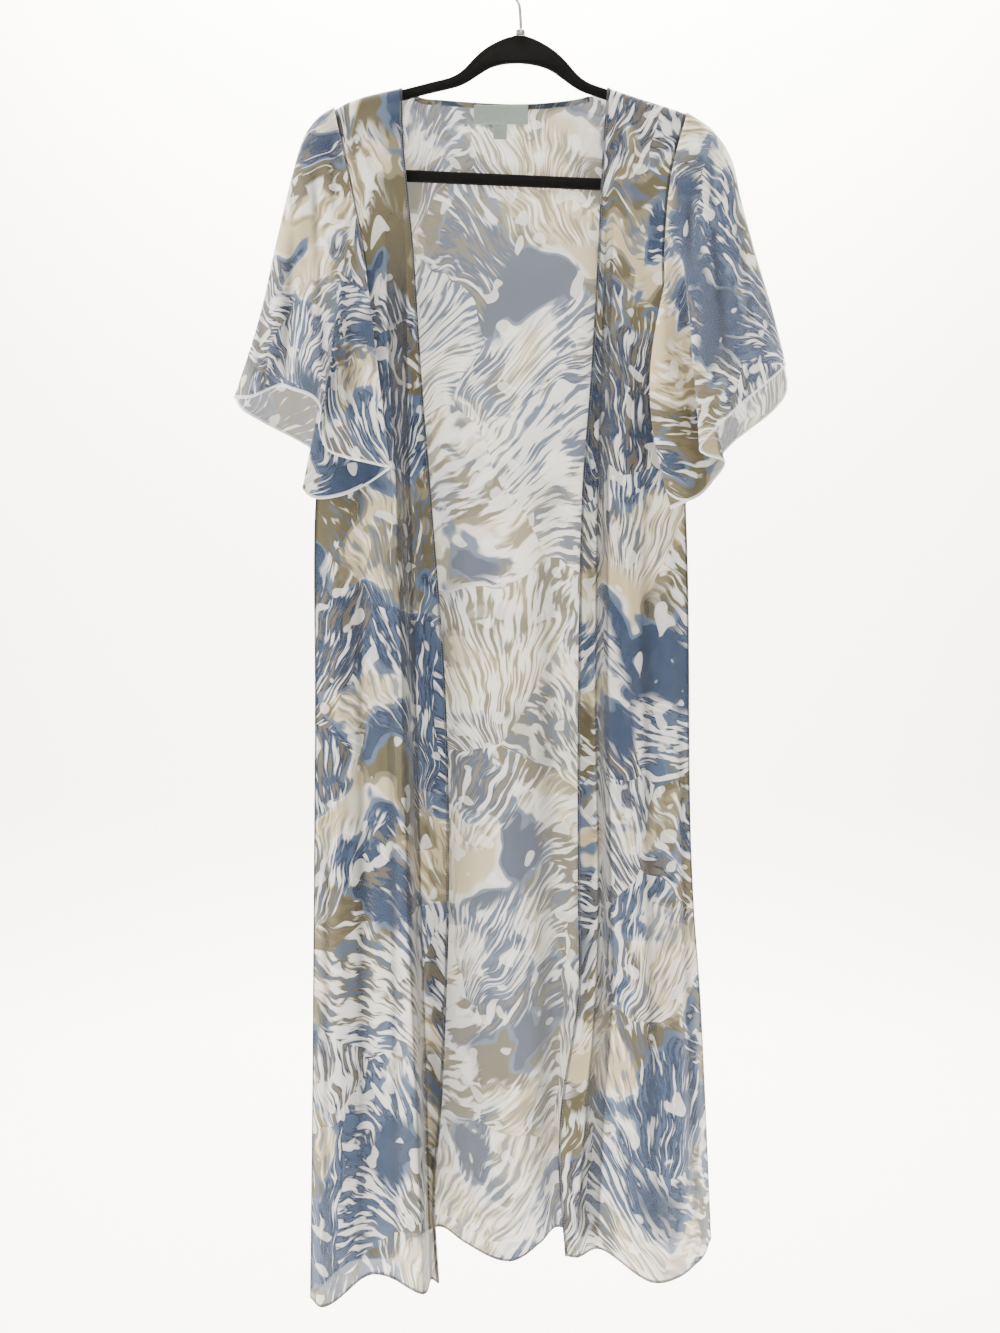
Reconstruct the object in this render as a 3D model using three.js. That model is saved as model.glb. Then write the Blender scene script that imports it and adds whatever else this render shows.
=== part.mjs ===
// Open-front duster on a slim hanger. Millimetres, +Z up, the front faces -Y, and the wearer's right is -X.
// The origin is the bearing point of the hook, the inside of its top, so the garment hangs below it.
// Every cloth piece is a thin wall around a grid of middle points, built row by row down the garment.
import * as THREE from 'three';

const WALL = 1.2;            // thickness of a cloth wall
const SEAM = 0.3;            // space between two pieces at a seam
const LAP = WALL + SEAM;     // from middle to middle where one piece lies on another
const ARM_CLEAR = 1.3;       // from the top of the hanger's arm to the middle of the cloth on it
const HANGER_DEPTH = 5;
const HANGER_BEVEL = 1;
const HANGER_SLOPE = 0.044;  // the hanger hangs with its +X side lower
const FACING_WIDTH = 20;
const FACING_BEHIND = 2;     // from the middle of a front to the middle of its facing
const FACING_START = 0.02;   // share of its width by which a facing starts inside the free edge
const FACING_FOLDED = { from: 0.5, to: 3 };       // depth of the front's groove where the facing narrows
const BINDING_WIDTH = 6;
const NECK_RIGHT = -124;     // where the neck opening starts on each shoulder
const NECK_LEFT = 91;
const BODY_LENGTH = 1240;    // shoulder point to hem, the length that the drops below are given for

// Drop of each row of the body below its shoulder seam. The first four wrap the hanger's arm.
const DROPS = [0, 0.4, 2.2, 6, 22, 50, 85, 120, 155, 190, 222, 254, 292, 340, 395, 455,
  520, 590, 660, 730, 800, 870, 935, 1000, 1060, 1115, 1160, 1202, 1240];
const WRAP_DEPTHS = [0.15, 2.6, 4.9, 5.8];

// Rows of values under named columns.
const table = (columns, ...rows) => rows.map(
  (row) => Object.fromEntries(columns.split(' ').map((column, i) => [column, row[i]])),
);

// Top edge of the hanger by distance from its middle: the arch, the arm and the drooping end.
const HANGER_TOP = table(
  'x z',
  [0, -81], [6, -81], [22, -87], [37, -96], [48, -106], [57, -116], [64, -122.5], [74, -128],
  [92, -133.5], [124, -143], [150, -150], [172, -157], [188, -165], [200, -175.5], [208, -188.5], [212, -203],
);
// Lower edge of the arch and arms, which is the top of the hanger's triangular gap.
const HANGER_INSIDE = table(
  'x z',
  [0, -109.5], [16, -111], [31, -115.5], [43, -123], [53, -130], [64, -136], [78, -140.5],
  [96, -145.5], [124, -154], [150, -161.5], [172, -169], [186, -176.5], [196, -188], [200, -202],
);
const BAR = { top: -227, bottom: -239, corner: 10 };
const HOOK = { wire: 3.2, loop: 19, seatZ: -74.9 };
const BOSS = { diameter: 9.8, bottom: -80.2, top: -75.2 };

// Side line of the body on each side: the armhole down to the underarm, then the side seam to the hem.
const UNDERARM_Z = -450;
const SEAM_CLOSES = { from: 700, to: 1300 };      // the layers of a side seam draw together on the way down
const SIDE_RIGHT = table(
  'z x y',
  [-158, -195, -0.5], [-202, -186, -6], [-250, -176, -6.5], [-300, -166, -7.5], [-349, -161, -8],
  [-400, -176, -6], [-450, -204, 0], [-516, -211, 0], [-600, -216, -2], [-780, -215, -5],
  [-985, -216, -7], [-1190, -217, -10], [-1400, -219, -12],
);
const SIDE_LEFT = table(
  'z x y',
  [-164, 174, -0.5], [-225, 158, -6], [-290, 151, -7.5], [-349, 151, -8], [-400, 160, -6],
  [-450, 171, 0], [-516, 172, 0], [-673, 176, -2], [-880, 178, 1], [-987, 182, 4],
  [-1093, 190, 9], [-1200, 196, 15], [-1355, 204, 26],
);

// Plan of each front by height: its free edge, the groove behind the edge, the crest beside it, and
// how far forward the panel stands at its middle and at its flank.
const FRONT_COLUMNS = 'z edgeX edgeY grooveX grooveY crestX crestY panelY flankY';
const FRONT_RIGHT = {
  side: SIDE_RIGHT,
  hem: { edge: -1382, groove: -1380, crest: -1378, panel: -1374, flank: -1399, side: -1400 },
  rows: table(
    FRONT_COLUMNS,
    [-135, -124, -5.8, -128, -5.8, -142, -5.8, -5.8, -5.8],
    [-200, -122, -6, -127, -6, -142, -6.2, -6.2, -6.2],
    [-305, -112, -6.5, -122, -5.5, -140, -9, -8.5, -8],
    [-400, -106, -6.5, -120, -3.5, -138, -12, -9, -7],
    [-460, -102, -6.5, -119, -3, -135, -14, -9, -4.5],
    [-570, -93, -6, -116, -1, -129, -18, -10, -7],
    [-780, -78, -4, -110, 0, -122, -27, -12, -13],
    [-985, -75, 0, -105, 3, -116, -36, -14, -19],
    [-1190, -82, -3, -99, 4, -107, -45, -15, -27],
    [-1300, -90, -12, -96, -6, -102, -50, -16, -33],
    [-1385, -85, -20, -92, -15, -99, -52, -16, -36],
  ),
};
const FRONT_LEFT = {
  side: SIDE_LEFT,
  hem: { edge: -1362, groove: -1362, crest: -1352, panel: -1367, flank: -1362, side: -1355 },
  rows: table(
    FRONT_COLUMNS,
    [-135, 91, -5.8, 94, -5.8, 100, -5.8, -5.8, -5.8],
    [-200, 86, -6, 91, -6, 98, -6.5, -6.2, -6.2],
    [-305, 81, -6, 89, -5, 96, -9, -8.5, -8],
    [-400, 76, -6.5, 86, -3.5, 93, -12, -9, -7],
    [-460, 72, -6.5, 84, -3, 92, -14, -9, -4.5],
    [-570, 64, -6, 81, -1, 91, -18, -10, -6.5],
    [-780, 60, -4, 79, 0, 90, -26, -13, -8],
    [-985, 60, 0, 82, 3, 93, -33, -18, -8],
    [-1090, 60, 1, 79, 3, 94, -31, -25, -9],
    [-1200, 43, 0, 70, 0, 87, -20, -38, -11],
    [-1270, 40, 0, 64, -2, 84, -13, -45, -12],
    [-1365, 47, 0, 60, -4, 80, -5, -52, -14],
  ),
};
const PANEL_AT = 0.45;       // the panel's middle and flank, as shares of the way from crest to side
const FLANK_AT = 0.85;
const FRONT_KEYS = ['edge', 'groove', 'crest', 'panel', 'flank', 'side'];
const FRONT_STEPS = [4, 5, 4, 3, 3];

// Keys across the back: share of its width, height of the top edge in the neck, depth and height at the hem.
const BACK_KEYS = table(
  'at neckZ hemY hemZ',
  [0, null, -12, -1400], [0.085, null, 36, -1384], [0.19, null, 26, -1376], [0.205, -136.4, 28, -1374],
  [0.25, -143.5, 44, -1362], [0.31, -145.5, 57, -1355], [0.38, -147.6, 40, -1366], [0.49, -149.7, 14, -1374],
  [0.57, -149.3, 36, -1364], [0.614, -148, 57, -1355], [0.69, -144.5, 42, -1362], [0.76, -137.4, 31, -1370],
  [0.775, null, 32, -1370], [0.86, null, 48, -1366], [0.93, null, 42, -1360], [1, null, 26, -1355],
);
const BACK_STEPS = [3, 3, 1, 2, 2, 2, 3, 2, 2, 2, 2, 1, 3, 2, 2];
const BACK_DEPTH = table('z y', [-135, 7], [-350, 9], [-570, 12], [-780, 16], [-985, 22], [-1375, 32]);
const BACK_WAVES = { startZ: -300, hemZ: -1375, power: 1.4 };

// Each sleeve by its columns, from the top line round to the underarm: the height where the column leaves
// the armhole, its point on the front hem and its point on the back hem.
const SLEEVE_COLUMNS = 'name seamZ frontX frontY frontZ backX backY backZ';
const SLEEVE_RIGHT = {
  side: SIDE_RIGHT,
  out: -1,
  topLine: table(
    'at x z',
    [0, -195, -157], [0.065, -213, -169.5], [0.13, -227, -189], [0.27, -240, -232], [0.49, -256, -300],
    [0.77, -276, -389], [1, -299, -463],
  ),
  foldBow: 0,
  columns: table(
    SLEEVE_COLUMNS,
    ['top', -157, -299, 0, -463, -299, 0, -463],
    ['bend', -161, -296, -20, -465, -296, 18, -470],
    ['outer', -176, -273, -48, -470, -276, 38, -481],
    ['dip', -198, -248, -46, -459, -257, 46, -490],
    ['swell', -222, -229, -68, -467, -241, 50, -498],
    ['crest', -246, -209, -74, -475, -228, 52, -506],
    ['fall', -264, -203, -54, -483, -221, 51, -515],
    ['groove', -280, -207, -34, -500, -215, 49, -524],
    ['rise', -300, -198, -42, -522, -208, 47, -534],
    ['flare', -320, -178, -60, -533, -202, 45, -541],
    ['apron', -336, -157, -62, -538, -198, 43, -547],
    ['foldFront', -346, -142, -50, -540, -196, 40, -551],
    ['foldTip', -351, -134, -41, -541, -195, 37, -554],
    ['foldBack', -357, -140, -32, -544, -196, 33, -556],
    ['returnInner', -377, -160, -30, -557, -201, 27, -558],
    ['returnMiddle', -403, -186, -30, -568, -210, 20, -561],
    ['returnOuter', -430, -214, -20, -569, -221, 11, -561],
    ['underarm', -450, -229, 0, -556, -229, 0, -556],
  ),
};
const SLEEVE_LEFT = {
  side: SIDE_LEFT,
  out: 1,
  topLine: table(
    'at x z',
    [0, 174, -162.5], [0.12, 202, -182], [0.23, 221, -211], [0.38, 231, -253], [0.62, 249, -320],
    [0.8, 263, -368], [1, 277, -428],
  ),
  foldBow: -18,
  columns: table(
    SLEEVE_COLUMNS,
    ['top', -162.5, 277, 0, -428, 277, 0, -428],
    ['bend', -167, 275, -18, -431, 284, 20, -450],
    ['outer', -182, 262, -44, -445, 275, 38, -466],
    ['dip', -203, 243, -57, -462, 254, 48, -483],
    ['swell', -226, 217, -63, -484, 232, 53, -500],
    ['crest', -248, 178, -72, -525, 219, 54, -515],
    ['fall', -265, 186, -53, -529, 210, 53, -530],
    ['groove', -281, 209, -35, -535, 204, 51, -543],
    ['rise', -300, 195, -34, -556, 198, 49, -552],
    ['flare', -320, 181, -48, -570, 193, 46, -556],
    ['apron', -336, 168, -58, -577, 190, 43, -558],
    ['foldFront', -346, 159, -55, -580, 188, 40, -559],
    ['foldTip', -351, 153, -45, -582, 187, 37, -559],
    ['foldBack', -357, 157, -31, -581, 187, 33, -559],
    ['returnInner', -377, 168, -26, -574, 188, 27, -558],
    ['returnMiddle', -403, 180, -23, -566, 190, 20, -557],
    ['returnOuter', -430, 191, -16, -556, 194, 11, -552],
    ['underarm', -450, 200, 0, -545, 200, 0, -545],
  ),
};
const FOLD_TIP = SLEEVE_RIGHT.columns.findIndex((column) => column.name === 'foldTip');
const SLEEVE_ROWS = [0, 0.025, 0.06, 0.1, 0.15, 0.22, 0.31, 0.42, 0.54, 0.66, 0.78, 0.89, 1];
// How a sleeve sits on the armhole, in depth from the body's middle plane and sideways at its two ends.
const ARMHOLE = { bendDepth: 7.3, upperDepth: 5.8, lowerDepth: 2.5, lowerStand: 1, underarmOut: 4 };
const FOLD_GAP = 5;          // how far the sleeve's front layer stands off its return at the armhole
const FOLD_LAP_POWER = 8;    // how late towards the fold the front layer moves in over the body
const FOLD_STAND_POWER = 3;  // how late towards the fold the layers draw out to their depths
const FOLD_BOW_COLUMNS = 6;  // columns on each side of the fold that bow with it
const TOP_LINE_REACH = 1.6;  // how fast the top line's droop fades towards the fold

const LABEL = { x: -49, width: 57, top: -151.5, height: 20.5, thickness: 0.8 };
const SIZE_TAB = { x: -28.5, width: 14, top: -169, height: 18, thickness: 0.8 };

// Smooth value of a table's column at a height or a share, through every row.
function along(rows, key, column, at) {
  const falling = rows[0][key] > rows[rows.length - 1][key];
  const place = falling ? -at : at;
  const keyOf = (row) => (falling ? -row[key] : row[key]);
  const last = rows.length - 1;
  if (place <= keyOf(rows[0])) return rows[0][column];
  if (place >= keyOf(rows[last])) return rows[last][column];
  let i = 0;
  while (place > keyOf(rows[i + 1])) i += 1;
  const slope = (a, b) => (rows[b][column] - rows[a][column]) / (keyOf(rows[b]) - keyOf(rows[a]));
  const span = keyOf(rows[i + 1]) - keyOf(rows[i]);
  const start = slope(Math.max(i - 1, 0), i + 1) * span;
  const end = slope(i, Math.min(i + 2, last)) * span;
  const t = (place - keyOf(rows[i])) / span;
  const from = rows[i][column];
  const to = rows[i + 1][column];
  const t2 = t * t;
  const t3 = t2 * t;
  return (2 * t3 - 3 * t2 + 1) * from + (t3 - 2 * t2 + t) * start + (3 * t2 - 2 * t3) * to + (t3 - t2) * end;
}

const mix = (a, b, t) => a + (b - a) * t;
const point = (x, y, z) => new THREE.Vector3(x, y, z);

// One row of a piece: a smooth curve through its key points, with a number of steps between each two.
function rowThrough(keys, steps, closed = false) {
  const curve = new THREE.CatmullRomCurve3(keys, closed, 'centripetal');
  const spans = closed ? keys.length : keys.length - 1;
  const row = [];
  for (let i = 0; i < spans; i += 1) {
    const count = steps[i % steps.length];
    for (let k = 0; k < count; k += 1) row.push(curve.getPoint((i + k / count) / spans));
  }
  if (!closed) row.push(curve.getPoint(1));
  return row;
}

// Outward directions of a grid of points. Each neighbour counts alike, so a sharp fold's tip faces outwards.
function gridNormals(grid, closed) {
  const rows = grid.length;
  const columns = grid[0].length;
  const wrap = (c) => (closed ? (c + columns) % columns : Math.min(Math.max(c, 0), columns - 1));
  const leg = (from, to) => to.clone().sub(from).normalize();
  return grid.map((row, r) => row.map((here, c) => {
    const down = leg(grid[Math.max(r - 1, 0)][c], here).add(leg(here, grid[Math.min(r + 1, rows - 1)][c]));
    const across = leg(row[wrap(c - 1)], here).add(leg(here, row[wrap(c + 1)]));
    return across.cross(down).normalize();
  }));
}

const moveGrid = (grid, normals, distance) => grid.map((row, r) => row.map(
  (p, c) => p.clone().addScaledVector(normals[r][c], distance),
));

// Closed wall around a grid of middle points: an outer skin, an inner skin and the rims between them.
function wall(grid, { closed = false, thickness = WALL } = {}) {
  const normals = gridNormals(grid, closed);
  const skins = [moveGrid(grid, normals, thickness / 2), moveGrid(grid, normals, -thickness / 2)];
  const rows = grid.length;
  const columns = grid[0].length;
  const positions = [];
  skins.forEach((skin) => skin.forEach((row) => row.forEach((p) => positions.push(p.x, p.y, p.z))));
  const at = (skin, r, c) => skin * rows * columns + r * columns + (c % columns);
  const faces = [];
  const quad = (a, b, c, d) => faces.push(a, b, c, a, c, d);
  const lastColumn = closed ? columns : columns - 1;
  for (let r = 0; r < rows - 1; r += 1) {
    for (let c = 0; c < lastColumn; c += 1) {
      quad(at(0, r, c), at(0, r, c + 1), at(0, r + 1, c + 1), at(0, r + 1, c));
      quad(at(1, r, c), at(1, r + 1, c), at(1, r + 1, c + 1), at(1, r, c + 1));
    }
  }
  for (let c = 0; c < lastColumn; c += 1) {
    quad(at(0, 0, c + 1), at(0, 0, c), at(1, 0, c), at(1, 0, c + 1));
    quad(at(0, rows - 1, c), at(0, rows - 1, c + 1), at(1, rows - 1, c + 1), at(1, rows - 1, c));
  }
  if (!closed) {
    const end = columns - 1;
    for (let r = 0; r < rows - 1; r += 1) {
      quad(at(0, r, 0), at(0, r + 1, 0), at(1, r + 1, 0), at(1, r, 0));
      quad(at(0, r + 1, end), at(0, r, end), at(1, r, end), at(1, r + 1, end));
    }
  }
  const geometry = new THREE.BufferGeometry();
  geometry.setAttribute('position', new THREE.Float32BufferAttribute(positions, 3));
  geometry.setIndex(faces);
  geometry.computeVertexNormals();
  return geometry;
}

// Height of the cloth's middle where it lies on the hanger's arm.
const shoulderZ = (x) => along(HANGER_TOP, 'x', 'z', Math.abs(x)) - HANGER_SLOPE * x + ARM_CLEAR;

// Depth of the body's side edge. Front and back are apart along the armhole and meet below the underarm.
function sideDepth(side, z, sign) {
  const halfSeam = mix(LAP / 2, WALL / 3, THREE.MathUtils.smoothstep(-z, SEAM_CLOSES.from, SEAM_CLOSES.to));
  const seamY = along(side, 'z', 'y', z);
  if (z > UNDERARM_Z) return sign * Math.max(Math.abs(seamY), halfSeam);
  return seamY + sign * halfSeam;
}

// Wrapping over the arm: the first rows run from the shoulder seam round to the panel's own depth.
const wrapDepth = (row, depth) => (row < WRAP_DEPTHS.length ? WRAP_DEPTHS[row] : depth);

const rowZ = (row, topZ, hemZ) => {
  if (row < WRAP_DEPTHS.length) return topZ - DROPS[row];
  return topZ - (DROPS[row] * (topZ - hemZ)) / BODY_LENGTH;
};

// Middle points of a front, from its free edge to its side seam.
function frontKeys(front, row) {
  const top = front.rows[0];
  const sideTopX = front.side[0].x;
  const topX = {
    edge: top.edgeX,
    groove: top.grooveX,
    crest: top.crestX,
    panel: mix(top.crestX, sideTopX, PANEL_AT),
    flank: mix(top.crestX, sideTopX, FLANK_AT),
    side: sideTopX,
  };
  return FRONT_KEYS.map((name) => {
    const z = rowZ(row, shoulderZ(topX[name]), front.hem[name]);
    const crestX = along(front.rows, 'z', 'crestX', z);
    const sideX = along(front.side, 'z', 'x', z);
    const x = {
      edge: along(front.rows, 'z', 'edgeX', z),
      groove: along(front.rows, 'z', 'grooveX', z),
      crest: crestX,
      panel: mix(crestX, sideX, PANEL_AT),
      flank: mix(crestX, sideX, FLANK_AT),
      side: sideX,
    }[name];
    const depth = name === 'side' ? sideDepth(front.side, z, -1) : along(front.rows, 'z', `${name}Y`, z);
    return point(x, -wrapDepth(row, -depth), z);
  });
}

// The first rows follow the hanger's arm exactly, so the cloth lies evenly over it.
function layOnArm(points, row, sign) {
  if (row >= WRAP_DEPTHS.length) return points;
  points.forEach((p) => {
    if (p.x > NECK_RIGHT + 0.1 && p.x < NECK_LEFT - 0.1) return;
    p.z = shoulderZ(p.x) - DROPS[row];
    p.y = sign * WRAP_DEPTHS[row];
  });
  return points;
}

function frontGrid(front) {
  return DROPS.map((_, row) => layOnArm(rowThrough(frontKeys(front, row), FRONT_STEPS), row, -1));
}

// Middle points of the back, from the wearer's right side seam to the left one.
function backKeys(row) {
  const sideTops = [SIDE_RIGHT[0].x, SIDE_LEFT[0].x];
  return BACK_KEYS.map((key) => {
    const topX = mix(sideTops[0], sideTops[1], key.at);
    const inNeck = key.neckZ !== null;
    const topZ = inNeck ? key.neckZ : shoulderZ(topX);
    const z = rowZ(row, topZ, key.hemZ);
    const x = mix(along(SIDE_RIGHT, 'z', 'x', z), along(SIDE_LEFT, 'z', 'x', z), key.at);
    if (key.at === 0) return point(x, wrapDepth(row, sideDepth(SIDE_RIGHT, z, 1)), z);
    if (key.at === 1) return point(x, wrapDepth(row, sideDepth(SIDE_LEFT, z, 1)), z);
    const base = along(BACK_DEPTH, 'z', 'y', z);
    const { startZ, hemZ, power } = BACK_WAVES;
    const reach = THREE.MathUtils.clamp((startZ - z) / (startZ - hemZ), 0, 1);
    const depth = base + (key.hemY - BACK_DEPTH.at(-1).y) * reach ** power;
    return point(x, inNeck ? depth : wrapDepth(row, depth), z);
  });
}

function backGrid() {
  return DROPS.map((_, row) => layOnArm(rowThrough(backKeys(row), BACK_STEPS), row, 1));
}

// A strip sewn on the inside of a front's free edge, of an even width, laid on the front's own rows.
function facingGrid(front, grid) {
  const shares = [FACING_START, 0.25, 0.5, 0.75, 1];
  const turn = Math.sign(front.side[0].x);
  return grid.slice(WRAP_DEPTHS.length).map((row) => {
    const [edge, groove, crest] = [row[0], row[FRONT_STEPS[0]], row[FRONT_STEPS[0] + FRONT_STEPS[1]]];
    const folded = THREE.MathUtils.smoothstep(groove.y - crest.y, FACING_FOLDED.from, FACING_FOLDED.to);
    const width = Math.min(FACING_WIDTH, mix(FACING_WIDTH, groove.distanceTo(edge) - 2 * LAP, folded));
    const curve = new THREE.CatmullRomCurve3(row, false, 'centripetal');
    curve.arcLengthDivisions = row.length * 12;
    const total = curve.getLength();
    return shares.map((share) => {
      const at = (share * width) / total;
      const tangent = curve.getTangentAt(at);
      const inward = point(-tangent.y, tangent.x, 0).normalize().multiplyScalar(turn * FACING_BEHIND);
      return curve.getPointAt(at).add(inward);
    });
  });
}

// Point of the back's surface at a given x and height near the neck, where it hangs flat.
const backSurface = (x, z) => point(x, along(BACK_DEPTH, 'z', 'y', z), z);

// The binding on the inside of the back neck follows the neck edge between the two neck points.
function bindingGrid() {
  const keys = BACK_KEYS.filter((key) => key.neckZ !== null);
  const sides = [SIDE_RIGHT[0].x, SIDE_LEFT[0].x];
  const edge = rowThrough(
    keys.map((key) => point(mix(sides[0], sides[1], key.at), 0, key.neckZ)),
    [2],
  );
  const inset = edge.slice(1, -1);
  return [0, BINDING_WIDTH].map((drop) => inset.map((p) => {
    const onBack = backSurface(p.x, p.z - drop - SEAM);
    return point(onBack.x, onBack.y - LAP - SEAM / 2, onBack.z);
  }));
}

// A woven patch that lies a number of layers in front of the back's inside.
function patchGrid(patch, layers) {
  const at = (x, z) => backSurface(x, z).add(point(0, -layers * LAP - SEAM, 0));
  return [0, 0.5, 1].map((down) => [0, 0.5, 1].map(
    (across) => at(patch.x + across * patch.width, patch.top - down * patch.height),
  ));
}

// Where a sleeve's column leaves the armhole, lapped just outside the body's edge. Towards the fold the
// front layer stands further off, so that its return lies behind it.
function armholePoint(sleeve, index, sign) {
  const { seamZ } = sleeve.columns[index];
  const x = along(sleeve.side, 'z', 'x', seamZ);
  const seamX = x + sleeve.out * SEAM;
  const edgeDepth = Math.abs(along(sleeve.side, 'z', 'y', seamZ));
  const lowerDepth = Math.max(edgeDepth, ARMHOLE.lowerDepth) + LAP + ARMHOLE.lowerStand;
  const upperDepth = Math.max(edgeDepth, ARMHOLE.upperDepth) + LAP;
  if (index === 0) return point(sleeve.topLine[0].x + sleeve.out * SEAM, 0, sleeve.topLine[0].z + LAP);
  if (index === 1) return point(seamX, sign * ARMHOLE.bendDepth, seamZ + LAP);
  if (index === sleeve.columns.length - 1) return point(x + sleeve.out * ARMHOLE.underarmOut, 0, seamZ - LAP);
  if (index > FOLD_TIP) return point(seamX, sign * lowerDepth, seamZ);
  const share = index / FOLD_TIP;
  const stand = share ** FOLD_STAND_POWER;
  if (sign > 0) return point(seamX, mix(upperDepth, lowerDepth, stand), seamZ);
  const lapped = seamX - sleeve.out * (SEAM + FOLD_GAP / 2) * share ** FOLD_LAP_POWER;
  if (index === FOLD_TIP) return point(lapped, -lowerDepth - FOLD_GAP / 2, seamZ);
  return point(lapped, -upperDepth - (ARMHOLE.lowerStand + FOLD_GAP) * stand, seamZ);
}

// Point of one sleeve column at a share of the way from armhole to hem.
function sleevePoint(sleeve, index, sign, t) {
  const column = sleeve.columns[index];
  const front = point(column.frontX, column.frontY, column.frontZ);
  const back = point(column.backX, column.backY, column.backZ);
  const straight = armholePoint(sleeve, index, sign).lerp(sign < 0 ? front : back, t);
  const first = sleeve.topLine[0];
  const last = sleeve.topLine.at(-1);
  const near = Math.max(1 - index / FOLD_TIP, 0) ** TOP_LINE_REACH;
  straight.x += (along(sleeve.topLine, 'at', 'x', t) - mix(first.x, last.x, t)) * near;
  straight.z += (along(sleeve.topLine, 'at', 'z', t) - mix(first.z, last.z, t)) * near;
  const nearFold = Math.max(1 - Math.abs(index - FOLD_TIP) / FOLD_BOW_COLUMNS, 0);
  straight.x += sleeve.foldBow * Math.sin(Math.PI * t) * nearFold;
  return straight;
}

function sleeveGrid(sleeve) {
  const last = sleeve.columns.length - 1;
  return SLEEVE_ROWS.map((t) => {
    const frontHalf = sleeve.columns.map((_, index) => sleevePoint(sleeve, index, -1, t));
    const backHalf = sleeve.columns.slice(1, last).map((_, index) => sleevePoint(sleeve, index + 1, 1, t));
    const ring = [...frontHalf, ...backHalf.reverse()];
    return rowThrough(sleeve.out < 0 ? ring.reverse() : ring, [1], true);
  });
}

// The hanger is one flat outline: arch, arms, rounded ends and a straight bar, with a triangular gap.
function hangerGeometry() {
  const place = (x, z) => new THREE.Vector2(x, z - HANGER_SLOPE * x);
  const mirrored = (rows) => [
    ...rows.slice(1).reverse().map((row) => place(-row.x, row.z)),
    ...rows.map((row) => place(row.x, row.z)),
  ];
  const ring = (edge, endX, endTop, endBottom, corner) => {
    const shape = new THREE.Path();
    shape.moveTo(edge[0].x, edge[0].y);
    shape.splineThru(edge.slice(1));
    const right = [place(endX, endTop), place(endX, endBottom), place(endX - corner, endBottom)];
    const left = [place(-endX + corner, endBottom), place(-endX, endBottom), place(-endX, endTop)];
    shape.lineTo(right[0].x, right[0].y);
    shape.quadraticCurveTo(right[1].x, right[1].y, right[2].x, right[2].y);
    shape.lineTo(left[0].x, left[0].y);
    shape.quadraticCurveTo(left[1].x, left[1].y, left[2].x, left[2].y);
    return shape.getPoints(2).filter((p, i, all) => i === 0 || p.distanceTo(all[i - 1]) > 0.1);
  };
  const topEdge = mirrored(HANGER_TOP);
  const insideEdge = mirrored(HANGER_INSIDE);
  const outline = ring(topEdge, HANGER_TOP.at(-1).x, BAR.bottom + BAR.corner * 2, BAR.bottom, BAR.corner * 2);
  const gap = ring(insideEdge, HANGER_INSIDE.at(-1).x, BAR.top + BAR.corner, BAR.top, BAR.corner);
  const shape = new THREE.Shape(outline);
  shape.holes.push(new THREE.Path(gap.reverse()));
  const geometry = new THREE.ExtrudeGeometry(shape, {
    depth: HANGER_DEPTH - 2 * HANGER_BEVEL,
    bevelEnabled: true,
    bevelSize: HANGER_BEVEL,
    bevelOffset: -HANGER_BEVEL,
    bevelThickness: HANGER_BEVEL,
    bevelSegments: 1,
    curveSegments: 4,
  });
  geometry.translate(0, 0, -HANGER_DEPTH / 2 + HANGER_BEVEL);
  geometry.rotateX(Math.PI / 2);
  return geometry;
}

// The collar that carries the hook on top of the arch.
function bossGeometry() {
  const radius = BOSS.diameter / 2;
  const geometry = new THREE.CylinderGeometry(radius, radius, BOSS.top - BOSS.bottom, 20);
  geometry.rotateX(Math.PI / 2);
  geometry.translate(0, 0, (BOSS.top + BOSS.bottom) / 2);
  return geometry;
}

// The hook's wire: a stem, an S-bend to one side, then a loop over the rail with an open tip.
function hookGeometry() {
  const centreZ = HOOK.wire / 2 - HOOK.loop;
  const onLoop = (degrees) => {
    const angle = THREE.MathUtils.degToRad(degrees);
    return point(HOOK.loop * Math.cos(angle), 0, centreZ + HOOK.loop * Math.sin(angle));
  };
  const loop = [210, 190, 165, 140, 115, 90, 65, 40, 15, -10, -32].map(onLoop);
  const stem = [point(0.5, 0, HOOK.seatZ), point(0, 0, -62), point(-1.5, 0, -48), point(-7.5, 0, -38)];
  const path = new THREE.CatmullRomCurve3([...stem, ...loop], false, 'centripetal');
  const section = new THREE.Shape().absarc(0, 0, HOOK.wire / 2, 0, Math.PI * 2, false);
  return new THREE.ExtrudeGeometry(section, {
    steps: 44,
    curveSegments: 5,
    bevelEnabled: false,
    extrudePath: path,
  });
}

const CLOTH = { color: 0xb9bcc0, roughness: 0.9, metalness: 0 };
const TRIM = { color: 0x9aa6b4, roughness: 0.9, metalness: 0 };
const WOVEN = { color: 0x98a29e, roughness: 0.8, metalness: 0 };
const FLOCK = { color: 0x0a0b0c, roughness: 1, metalness: 0 };
const STEEL = { color: 0x9a9a9a, roughness: 0.35, metalness: 1 };

function addMesh(group, name, geometry, finish) {
  const mesh = new THREE.Mesh(geometry, new THREE.MeshStandardMaterial(finish));
  mesh.name = name;
  group.add(mesh);
}

const rightFront = frontGrid(FRONT_RIGHT);
const leftFront = frontGrid(FRONT_LEFT);
const reverseRows = (grid) => grid.map((row) => [...row].reverse());

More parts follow.
